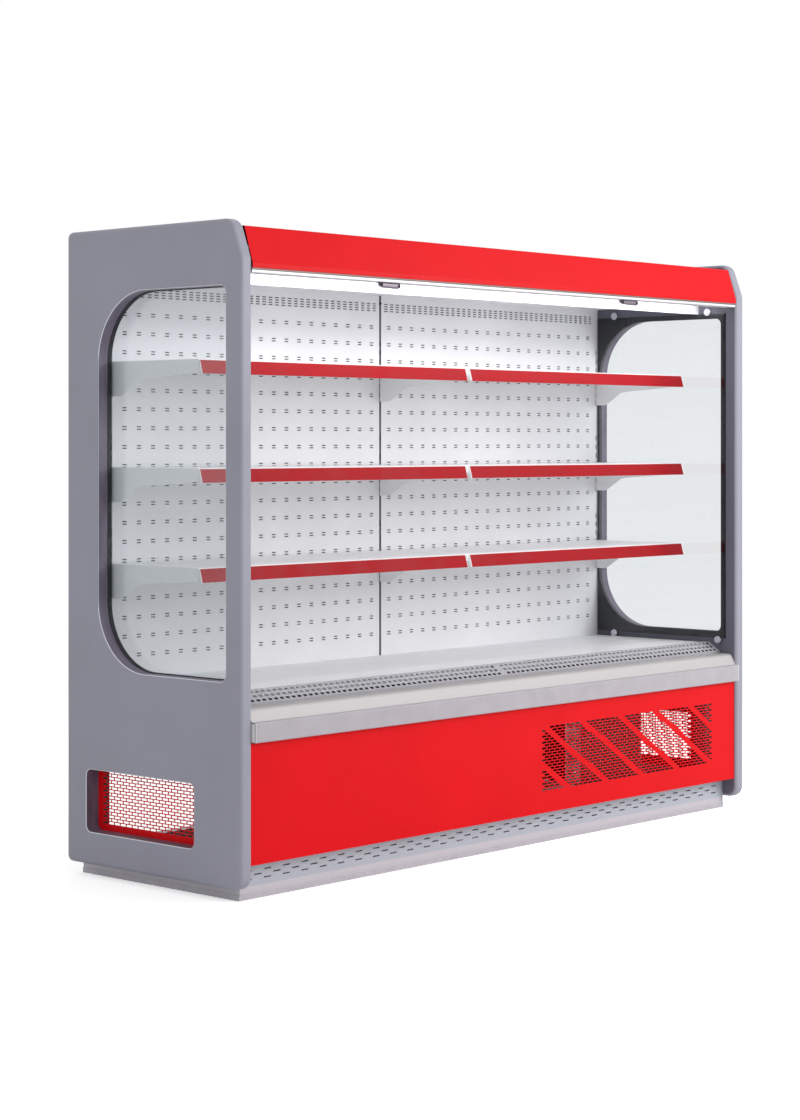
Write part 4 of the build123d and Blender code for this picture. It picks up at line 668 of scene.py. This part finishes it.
def end_tree(tree, copies, finish):
    """The copies as real faces with their finish, given out by the tree."""
    solid = add(tree, "GeometryNodeRealizeInstances", {"Geometry": copies})
    coated = add(tree, "GeometryNodeSetMaterial", {"Geometry": solid, "Material": finish})
    add(tree, "NodeGroupOutput", {"Geometry": coated})


def grow(name, points, tree, values):
    """What a tree makes of seed points, as a plain mesh."""
    seed_mesh = bpy.data.meshes.new(name + "_points")
    seed_mesh.from_pydata([point for point, _ in points], [], [])
    facing = seed_mesh.attributes.new("facing", "FLOAT_VECTOR", "POINT")
    facing.data.foreach_set("vector", [part for _, way in points for part in way])
    seed = new_object(name + "_seed", seed_mesh)
    modifier = seed.modifiers.new("Repeat", "NODES")
    modifier.node_group = tree
    for item in tree.interface.items_tree:
        if item.item_type == "SOCKET" and item.in_out == "INPUT" and item.name in values:
            modifier[item.identifier] = values[item.name]
    graph = bpy.context.evaluated_depsgraph_get()
    mesh = bpy.data.meshes.new_from_object(seed.evaluated_get(graph), depsgraph=graph)
    mesh.name = name
    bpy.data.objects.remove(seed)
    if not len(mesh.polygons):
        raise RuntimeError(f"{name}: the tree made no faces")
    return mesh


def fastener_tree():
    """Puts one head at each seed point, its axis along the point's facing."""
    tree, given = geometry_tree("Fasteners", {
        "Head": "NodeSocketObject", "Diameter": "NodeSocketFloat", "Finish": "NodeSocketMaterial",
    })
    head = add(tree, "GeometryNodeObjectInfo", {"Object": given["Head"]}).outputs["Geometry"]
    facing = add(tree, "GeometryNodeInputNamedAttribute", {"Name": "facing"}, data_type="FLOAT_VECTOR")
    copies = add(tree, "GeometryNodeInstanceOnPoints", {
        "Points": add(tree, "GeometryNodeMeshToPoints", {"Mesh": given["Geometry"]}),
        "Instance": head,
        "Rotation": add(tree, "FunctionNodeAlignRotationToVector", {"Vector": facing}, axis="Z"),
        "Scale": given["Diameter"],
    })
    end_tree(tree, copies, given["Finish"])
    return tree


def honeycomb_tree():
    """Rows of open six-sided cells, every second row moved half a cell, from one corner on."""
    tree, given = geometry_tree("Honeycomb", {
        "Columns": "NodeSocketInt", "Rows": "NodeSocketInt", "Cell": "NodeSocketFloat",
        "Wall": "NodeSocketFloat", "Height": "NodeSocketFloat", "Corner": "NodeSocketVector",
        "Finish": "NodeSocketMaterial",
    })
    count = add(tree, "ShaderNodeMath", {0: given["Columns"], 1: given["Rows"]}, operation="MULTIPLY")
    index = add(tree, "GeometryNodeInputIndex")
    row = add(tree, "ShaderNodeMath", {0: index, 1: given["Rows"]}, operation="MODULO")
    columns_before = add(tree, "ShaderNodeMath", {0: index, 1: given["Rows"]}, operation="DIVIDE")
    column = add(tree, "ShaderNodeMath", {0: columns_before}, operation="FLOOR")
    odd = add(tree, "ShaderNodeMath", {0: row, 1: 2.0}, operation="MODULO")
    across = add(tree, "ShaderNodeMath", {0: odd, 1: 0.5, 2: column}, operation="MULTIPLY_ADD")
    back = add(tree, "ShaderNodeMath", {0: row, 1: HEX_FLAT}, operation="MULTIPLY")
    steps = add(tree, "ShaderNodeCombineXYZ", {0: across, 1: back})
    place = add(tree, "ShaderNodeVectorMath", {0: steps, 1: given["Cell"], 2: given["Corner"]},
                operation="MULTIPLY_ADD")
    points = add(tree, "GeometryNodeMeshLine", {"Count": count})
    hollow = add(tree, "ShaderNodeMath", {0: given["Cell"], 1: given["Wall"]}, operation="SUBTRACT")
    radius = add(tree, "ShaderNodeMath", {0: hollow, 1: 2 * HEX_FLAT}, operation="DIVIDE")
    hexagon = add(tree, "GeometryNodeCurvePrimitiveCircle", {"Resolution": 6, "Radius": radius})
    section = {"Width": given["Wall"], "Height": given["Height"]}
    tube = add(tree, "GeometryNodeCurveToMesh", {
        "Curve": add(tree, "GeometryNodeTransform", {"Geometry": hexagon, "Rotation": (0, 0, math.pi / 6)}),
        "Profile Curve": add(tree, "GeometryNodeCurvePrimitiveQuadrilateral", section),
    })
    copies = add(tree, "GeometryNodeInstanceOnPoints", {
        "Points": add(tree, "GeometryNodeSetPosition", {"Geometry": points, "Position": place}),
        "Instance": tube,
    })
    end_tree(tree, copies, given["Finish"])
    return tree


def fasten(name, places, head_loops, diameter, finish):
    """Heads of one kind at (point, facing) places, as one piece on the cabinet."""
    head = new_object(name + "_head", mesh_of(name + "_head", [skin(head_loops)]))
    values = {"Head": head, "Diameter": diameter, "Finish": FINISHES[finish]}
    mesh = grow(name, places, fastener_tree(), values)
    bpy.data.objects.remove(head)
    return place_piece(mesh, finish, "cabinet")


FINISHES = {}


# ------------------------------------------------------------------ operators
class FRIDGE_OT_finish_cabinet(bpy.types.Operator):
    """Give every solid of the fridge its finish"""

    bl_idname = "fridge.finish_cabinet"
    bl_label = "Finish cabinet"

    def execute(self, context):
        FINISHES.update(all_finishes(context.scene.fridge_colours, context.scene.fridge_sizes))
        finishes = node_finishes()
        for name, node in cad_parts.items():
            for slot in node.material_slots:
                slot.material = FINISHES[finishes[name]]
        return {"FINISHED"}


class FRIDGE_OT_hang_night_blinds(bpy.types.Operator):
    """Hang the cloth of both night blinds between roller and pull bar"""

    bl_idname = "fridge.hang_night_blinds"
    bl_label = "Hang night blinds"

    def execute(self, context):
        rows, columns = context.scene.fridge_sizes.cloth_rows, 60
        cloth_thick = 0.0005
        ripple_depth, ripple_turn = 0.0001, 0.7  # a slight unevenness across the cloth, in metres and radians
        for side in SIDES:
            low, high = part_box(f"blind_cloth_{side}")
            middle = (low.y + high.y) / 2
            corners, faces = [], []
            for row in range(rows + 1):
                for column in range(columns + 1):
                    x = low.x + (high.x - low.x) * column / columns
                    z = high.z + (low.z - high.z) * row / rows
                    swell = ripple_depth * math.sin(column * ripple_turn) * math.sin(math.pi * row / rows)
                    corners.append((x, middle + swell, z))
            for row in range(rows):
                for column in range(columns):
                    first = row * (columns + 1) + column
                    faces.append((first, first + columns + 1, first + columns + 2, first + 1))
            mesh = bpy.data.meshes.new(f"night_blind_{side}")
            mesh.from_pydata(corners, [], faces)
            mesh.shade_smooth()
            piece = place_piece(mesh, "cloth", None)
            wall = piece.modifiers.new("Cloth thickness", "SOLIDIFY")
            wall.thickness, wall.offset = cloth_thick, 0
            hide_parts(f"blind_cloth_{side}")
            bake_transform(piece)
        return {"FINISHED"}


class FRIDGE_OT_fit_blind_pulls(bpy.types.Operator):
    """Fit the cup-shaped pull on each blind bar and the stop between the bars"""

    bl_idname = "fridge.fit_blind_pulls"
    bl_label = "Fit blind pulls"

    # Section of a pull: the shares of how far it stands out and hangs down, and a small step down in metres
    section = (
        (0.35, 0, 0.0005), (0.8, 0.35, 0), (1, 0.75, 0), (0.85, 1, 0), (0.5, 1, 0.0008), (0.3, 0.8, 0),
    )
    # Radius and height along a knob, then each knob's share of the pull's length, its drop and its width
    knob = ((0.0018, 0), (0.0046, 0.0008), (0.005, 0.002), (0.0036, 0.0028), (0.001, 0.0031))
    knobs = ((-0.44, 0.022, 0.8), (0.36, 0.025, 1.3))
    # Outline of the stop between the bars, back and up from the trim's upper rear edge
    stop = (
        (-0.002, -0.0014), (0.012, -0.0014), (0.016, -0.004), (0.016, -0.0075), (0.013, -0.009),
        (-0.002, -0.004),
    )

    def execute(self, context):
        sizes = context.scene.fridge_sizes
        stations = 24
        bar_lip, seat, top_step = 0.006, 0.0002, 0.001  # the bar's face, and how the pull sits on it
        end_drop, end_proud, bow_proud, knob_proud = 0.012, 0.002, 0.009, 0.0095
        left_round, right_round, left_drop = 0.06, 0.14, 0.88  # shares of the length and of the right's drop
        for side in SIDES:
            low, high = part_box(f"blind_bar_{side}")
            middle, front, top = (low.x + high.x) / 2, low.y + bar_lip, high.z
            loops = []
            for step in range(stations + 1):
                share = step / stations
                bow = min(1.0, share / left_round, (1 - share) / right_round) ** 0.5
                slope = left_drop + (1 - left_drop) * share
                drop = end_drop + (sizes.handle_drop - end_drop) * bow * slope
                proud = end_proud + bow_proud * bow
                x = middle + sizes.handle_length * (share - 0.5)
                bowl = [
                    (x, front - proud * out, top - drop * down - extra)
                    for out, down, extra in self.section
                ]
                loops.append([(x, front + seat, top - top_step), *bowl, (x, front + seat, top - drop / 2)])
            build_piece(f"blind_pull_{side}", [skin(loops)], "handle", f"blind_{side}")
            knobs = []
            rings = turned(self.knob, 16)
            for share, drop, wide in self.knobs:
                seat_x = middle + share * sizes.handle_length
                turn = Matrix.Translation((seat_x, front - knob_proud, top - drop))
                turn = turn @ Matrix.Rotation(math.radians(90), 4, "X") @ Matrix.Scale(wide, 4, (1, 0, 0))
                knobs.append(skin([[turn @ Vector(point) for point in ring] for ring in rings]))
            build_piece(f"blind_pull_knobs_{side}", knobs, "black", f"blind_{side}")
        corner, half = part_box("canopy_trim")[1], 0.009
        outline = [(corner.y + back, corner.z + up) for back, up in self.stop]
        build_piece("blind_stop", [along_x(outline, -half, half)], "handle", "cabinet")
        return {"FINISHED"}


class FRIDGE_OT_fit_glass_discs(bpy.types.Operator):
    """Put a turned, grooved face on every glass fixing disc"""

    bl_idname = "fridge.fit_glass_discs"
    bl_label = "Fit glass discs"

    # Radius and height of the face, as shares of its diameter
    profile = (
        (0.3, -0.02), (0.5, 0), (0.485, 0.022), (0.4, 0.034), (0.33, 0.03), (0.31, 0.012), (0.27, 0.012),
        (0.25, 0.03), (0.14, 0.034), (0.11, 0.02), (0.02, 0.018),
    )

    def execute(self, context):
        low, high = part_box("glass_fixing_discs")
        radius, washer, top_shift = 0.014, 0.004, 0.048  # the upper front disc stands back by the shift
        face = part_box("end_glass_right")[0].x - washer
        places = []
        for side in SIDES.values():
            for y, z in (
                (low.y + radius, low.z + radius), (high.y - radius, low.z + radius),
                (low.y + radius + top_shift, high.z - radius), (high.y - radius, high.z - radius),
            ):
                places.append(((side * face, y, z), (-side, 0, 0)))
        wide = context.scene.fridge_sizes.disc_face
        fasten("glass_disc_faces", places, turned(self.profile, 24), wide, "disc")
        return {"FINISHED"}


class FRIDGE_OT_drive_screws(bpy.types.Operator):
    """Drive the screws of the terminal box, the fan shroud, the unit base, the fans and the back panels"""

    bl_idname = "fridge.drive_screws"
    bl_label = "Drive screws"

    # Radius and height of a head, as shares of its diameter
    profile = ((0.3, -0.05), (0.5, 0), (0.49, 0.12), (0.4, 0.26), (0.22, 0.33), (0.16, 0.18), (0.04, 0.17))

    def execute(self, context):
        sizes = context.scene.fridge_sizes
        head = turned(self.profile, 14)
        edge, tall_edge, base_edge = 0.012, 0.015, 0.02  # from a piece's edge to the middle of its screw
        sheet, lid, first_base_screw = 0.0012, 0.154, 0.33  # gauge, lid width, way to the base's first screw
        fan_across, fan_screw, fan_frame = 0.45, 0.052, 0.008  # middle of a fan, its screws' reach, its rim
        joint_drop = 0.028
        places = []
        low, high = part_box("electrical_box")
        for x in (high.x - edge, high.x - lid + edge):
            for y in (low.y + edge, high.y - edge):
                places.append(((x, y, high.z), (0, 0, 1)))
        low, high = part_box("condenser_fan_shroud")
        for x in (low.x + edge, high.x - edge):
            for z in (low.z + tall_edge, high.z - tall_edge):
                places.append(((x, low.y + sheet, z), (0, 1, 0)))
        low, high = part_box("condensing_unit_base")
        for x in (low.x + first_base_screw, high.x - base_edge):
            places.append(((x, high.y - base_edge, low.z + sheet), (0, 0, 1)))
        low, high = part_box("evaporator_fan_plate")
        height = (low.z + high.z) / 2
        for side in SIDES.values():
            for across in (-fan_screw, fan_screw):
                for up in (-fan_screw, fan_screw):
                    places.append(((side * fan_across + across, low.y + fan_frame, height + up), (0, -1, 0)))
        fasten("machine_screws", places, head, sizes.screw_head, "disc")
        low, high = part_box("back_panels")
        place = ((0, low.y, high.z - joint_drop), (0, -1, 0))
        fasten("back_panel_screw", [place], head, sizes.joint_screw, "black")
        return {"FINISHED"}


class FRIDGE_OT_fill_air_honeycomb(bpy.types.Operator):
    """Fill the air outlet with six-sided cells"""

    bl_idname = "fridge.fill_air_honeycomb"
    bl_label = "Fill air honeycomb"

    def execute(self, context):
        sizes = context.scene.fridge_sizes
        low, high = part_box("air_honeycomb")
        middle = (low + high) / 2
        margin, wall = 0.0015, 0.0012
        row_pitch = sizes.cell * HEX_FLAT
        columns = int((high.x - low.x - 2 * margin - sizes.cell / 2) // sizes.cell)
        rows = int((high.y - low.y - 2 * margin - sizes.cell) // row_pitch) + 1
        start_x = middle.x - (columns - 0.5) * sizes.cell / 2
        start_y = middle.y - (rows - 1) * row_pitch / 2
        cells = grow("air_outlet_cells", [((0, 0, 0), (0, 0, 1))], honeycomb_tree(), {
            "Columns": columns, "Rows": rows, "Cell": sizes.cell, "Wall": sizes.cell_wall,
            "Height": high.z - low.z, "Corner": (start_x, start_y, middle.z), "Finish": FINISHES["cell"],
        })
        piece = place_piece(cells, "cell", "cabinet")
        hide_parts("air_honeycomb")
        loops = [
            [(x, y, z) for x, y in rectangle(low, high, inset)]
            for inset, z in ((0, low.z), (wall, low.z), (wall, high.z), (0, high.z))
        ]
        build_piece("air_outlet_frame", [skin(loops, ring=True)], "cell", "cabinet")
        return {"FINISHED"}


class FRIDGE_OT_cap_bumper(bpy.types.Operator):
    """Put the end caps on the bumper band"""

    bl_idname = "fridge.cap_bumper"
    bl_label = "Cap bumper"

    def execute(self, context):
        wide = context.scene.fridge_sizes.end_cap
        low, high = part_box("bumper_band")
        proud = 0.0003
        bend_in, round_in, round_up, bend_up = 0.004, 0.0008, 0.002, 0.005  # points along its rounded edges
        front = low.y - proud
        outline = [
            (high.y, low.z), (high.y, high.z), (low.y + bend_in, high.z + proud),
            (front + round_in, high.z - round_up), (front, high.z - bend_up), (front, low.z + bend_up),
            (front + round_in, low.z + round_up), (low.y + bend_in, low.z - proud),
        ]
        solids = [along_x(outline, x, x + wide) for x in (-high.x, high.x - wide)]
        build_piece("bumper_end_caps", solids, "rail_cap", "cabinet")
        return {"FINISHED"}


class FRIDGE_OT_cap_price_rails(bpy.types.Operator):
    """Close both ends of every price rail with a white cap"""

    bl_idname = "fridge.cap_price_rails"
    bl_label = "Cap price rails"

    def execute(self, context):
        thick = context.scene.fridge_sizes.rail_cap
        deep, top, foot, corner = 0.022, 0.0036, 0.008, 0.001  # along the rail's rear, top, foot and lip
        for side in SIDES:
            for level in LEVELS:
                low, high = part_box(f"price_rail_{level}_{side}")
                outline = [
                    (high.y, high.z - deep), (high.y, high.z), (high.y - top, high.z),
                    (low.y, low.z + 0.8 * corner), (low.y + corner, low.z), (low.y + foot, low.z),
                ]
                solids = [along_x(outline, x - thick, x) for x in (low.x, high.x + thick)]
                body = f"shelf_{level}_{side}_set"
                build_piece(f"price_rail_caps_{level}_{side}", solids, "rail_cap", body)
        return {"FINISHED"}


class FRIDGE_OT_light_controller(bpy.types.Operator):
    """Light the digits of the temperature controller and mark its keys"""

    bl_idname = "fridge.light_controller"
    bl_label = "Light controller"

    # Middle of each bar of a digit, to the right and up in bar lengths, and whether it lies flat
    bars = {
        "a": (0, 1, True), "g": (0, 0, True), "d": (0, -1, True), "b": (0.5, 0.5, False),
        "c": (0.5, -0.5, False), "f": (-0.5, 0.5, False), "e": (-0.5, -0.5, False),
    }
    lit = ((0.0115, "abcdg"), (0.0212, "abcdef"))  # from the bezel's end to a digit, and its lit bars
    point = (0.0164, 0.0062, 0.0006)  # from the bezel's end and its middle to the point, and half its side
    arrow = ((-0.0018, -0.0009), (0.0018, -0.0009), (0, 0.0012))

    def execute(self, context):
        low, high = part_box("temperature_controller")
        middle = (low.y + high.y) / 2
        long, wide, filled = 0.0062, 0.001, 0.42  # a bar's grid and width, and its share of the grid
        deep, recess, ink_deep, ink_proud = 0.0004, 0.0006, 0.0002, 0.0001
        face = low.z + recess
        half_long, half_wide = filled * long, wide / 2
        areas = []
        for along, letters in self.lit:
            for letter in letters:
                right, up, flat = self.bars[letter]
                x, y = low.x + along + right * long, middle - up * long
                half_x, half_y = (half_long, half_wide) if flat else (half_wide, half_long)
                areas.append(((x - half_x, y - half_y), (x + half_x, y + half_y)))
        x, y, half = low.x + self.point[0], middle + self.point[1], self.point[2]
        areas.append(((x - half, y - half), (x + half, y + half)))
        solids = [upright(rectangle(*area), face - deep, face) for area in areas]
        build_piece("controller_digits", solids, "lit", "cabinet")
        for key, up in (("up", -1), ("down", 1)):
            low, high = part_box(f"controller_key_{key}")
            middle = (low + high) / 2
            outline = [(middle.x + x, middle.y + up * y) for x, y in self.arrow]
            solid = upright(outline, low.z - ink_proud, low.z + ink_deep)
            build_piece(f"key_mark_{key}", [solid], "black", f"key_{key}")
        return {"FINISHED"}


def studio_floor(tree, place, stage):
    """Pale matt floor. For the camera alone it adds light, apart from under the base frame, and goes over
    to plain white far out, where its edge would show."""
    near, far = 2.6, 5.0
    seen = add(tree, "ShaderNodeLightPath").outputs["Is Camera Ray"]
    low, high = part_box("base_frame")
    under = within(tree, place, X=(low.x, high.x), Y=(low.y, high.y))
    lift = add(tree, "ShaderNodeMapRange", {0: under, 3: stage.lift, 4: 0.0})
    matt = add(tree, "ShaderNodeBsdfPrincipled", {
        "Base Color": shades(tree, noise(tree, place, 2.5, 1), stage.floor, 1.0, 0.98),
        "Roughness": 0.9,
        "Specular IOR Level": 0.0,
        "Emission Color": WHITE,
        "Emission Strength": add(tree, "ShaderNodeMath", {0: seen, 1: lift}, operation="MULTIPLY"),
    })
    distance = add(tree, "ShaderNodeVectorMath", {0: place}, operation="LENGTH")
    outer = add(tree, "ShaderNodeMapRange", {0: distance, 1: near, 2: far})
    return add(tree, "ShaderNodeMixShader", {
        0: add(tree, "ShaderNodeMath", {0: seen, 1: outer}, operation="MULTIPLY"),
        1: matt,
        2: add(tree, "ShaderNodeEmission", {"Color": WHITE}),
    })


def studio_world(stage):
    """Even white light all round, which cameras, mirrors and glass see at full strength."""
    world = bpy.data.worlds.new("Studio")
    world.use_nodes = True
    tree = world.node_tree
    tree.nodes.clear()
    path = add(tree, "ShaderNodeLightPath").outputs
    seen = path["Is Camera Ray"]
    for ray in ("Is Glossy Ray", "Is Transmission Ray"):
        seen = add(tree, "ShaderNodeMath", {0: seen, 1: path[ray]}, operation="MAXIMUM")
    strength = add(tree, "ShaderNodeMapRange", {0: seen, 3: stage.sky, 4: 1.0})
    sky = add(tree, "ShaderNodeBackground", {"Color": WHITE, "Strength": strength})
    add(tree, "ShaderNodeOutputWorld", {"Surface": sky})
    return world


def hang_lamp(name, centre, aim, wide, high, power):
    """A soft rectangular lamp that the camera doesn't see."""
    data = bpy.data.lights.new(name, "AREA")
    data.shape, data.size, data.size_y, data.energy = "RECTANGLE", wide, high, power
    lamp = new_object(name, data)
    lamp.location = centre
    lamp.rotation_euler = (Vector(aim) - Vector(centre)).to_track_quat("-Z", "Y").to_euler()
    lamp.visible_camera = False


class FRIDGE_OT_set_stage(bpy.types.Operator):
    """Lay the floor and set the camera and the soft lamps"""

    bl_idname = "fridge.set_stage"
    bl_label = "Set stage"

    def execute(self, context):
        scene, stage = context.scene, context.scene.fridge_stage
        half = stage.floor_size / 2
        mesh = bpy.data.meshes.new("floor")
        mesh.from_pydata([(x, y, 0) for x, y in rectangle((-half, -half), (half, half))], [], [(0, 1, 2, 3)])
        mesh.materials.append(material("Studio floor, pale", studio_floor, stage))
        new_object("floor", mesh)
        scene.world = studio_world(stage)

        hang_lamp("front_lamp", (3.4, -5.2, 3.2), (0, 0, 1.0), 4.0, 3.0, stage.key)
        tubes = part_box("led_lamps")[0]
        tube_middle, tube_long, tube_wide, tube_gap = 0.625, 1.15, 0.03, 0.004
        shelf_depth, shelf_height = 0.5, 1.1  # where the tubes' light is aimed
        for name, side in SIDES.items():
            x = side * tube_middle
            centre, aim = (x, tubes.y, tubes.z - tube_gap), (x, shelf_depth, shelf_height)
            hang_lamp(f"canopy_lamp_{name}", centre, aim, tube_long, tube_wide, stage.canopy)

        view = bpy.data.cameras.new("photo_view")
        view.lens, view.sensor_width, view.shift_y = 76.629, 36, -0.1055
        camera = new_object("photo_view", view)
        camera.location = (-6.1537, -5.4766, 1.3672)
        camera.rotation_euler = (math.radians(90), 0, math.radians(-47.496))
        scene.camera = camera
        scene.view_settings.view_transform = "Standard"
        return {"FINISHED"}


OPERATORS = (
    FRIDGE_OT_finish_cabinet, FRIDGE_OT_hang_night_blinds, FRIDGE_OT_fit_blind_pulls,
    FRIDGE_OT_fit_glass_discs, FRIDGE_OT_drive_screws, FRIDGE_OT_fill_air_honeycomb, FRIDGE_OT_cap_bumper,
    FRIDGE_OT_cap_price_rails, FRIDGE_OT_light_controller, FRIDGE_OT_set_stage,
)


class FRIDGE_PT_sidebar(bpy.types.Panel):
    """Lists the steps that dress the fridge, with its colours and sizes"""

    bl_idname = "FRIDGE_PT_sidebar"
    bl_label = "Display fridge"
    bl_space_type = "VIEW_3D"
    bl_region_type = "UI"
    bl_category = "Display fridge"

    def draw(self, context):
        for operator in OPERATORS:
            self.layout.operator(operator.bl_idname)
        for group in GROUPS:
            values = getattr(context.scene, group)
            column = self.layout.column()
            for name in values.__annotations__:
                column.prop(values, name)


GROUPS = {"fridge_colours": FridgeColours, "fridge_sizes": FridgeSizes, "fridge_stage": FridgeStage}


def register():
    for kind in (*GROUPS.values(), *OPERATORS, FRIDGE_PT_sidebar):
        bpy.utils.register_class(kind)
    for name, group in GROUPS.items():
        setattr(bpy.types.Scene, name, PointerProperty(type=group))


def unregister():
    for name in GROUPS:
        delattr(bpy.types.Scene, name)
    for kind in reversed((*GROUPS.values(), *OPERATORS, FRIDGE_PT_sidebar)):
        bpy.utils.unregister_class(kind)


def main():
    register()
    for operator in OPERATORS:
        group, name = operator.bl_idname.split(".")
        getattr(getattr(bpy.ops, group), name)()


if __name__ == "__main__":
    main()
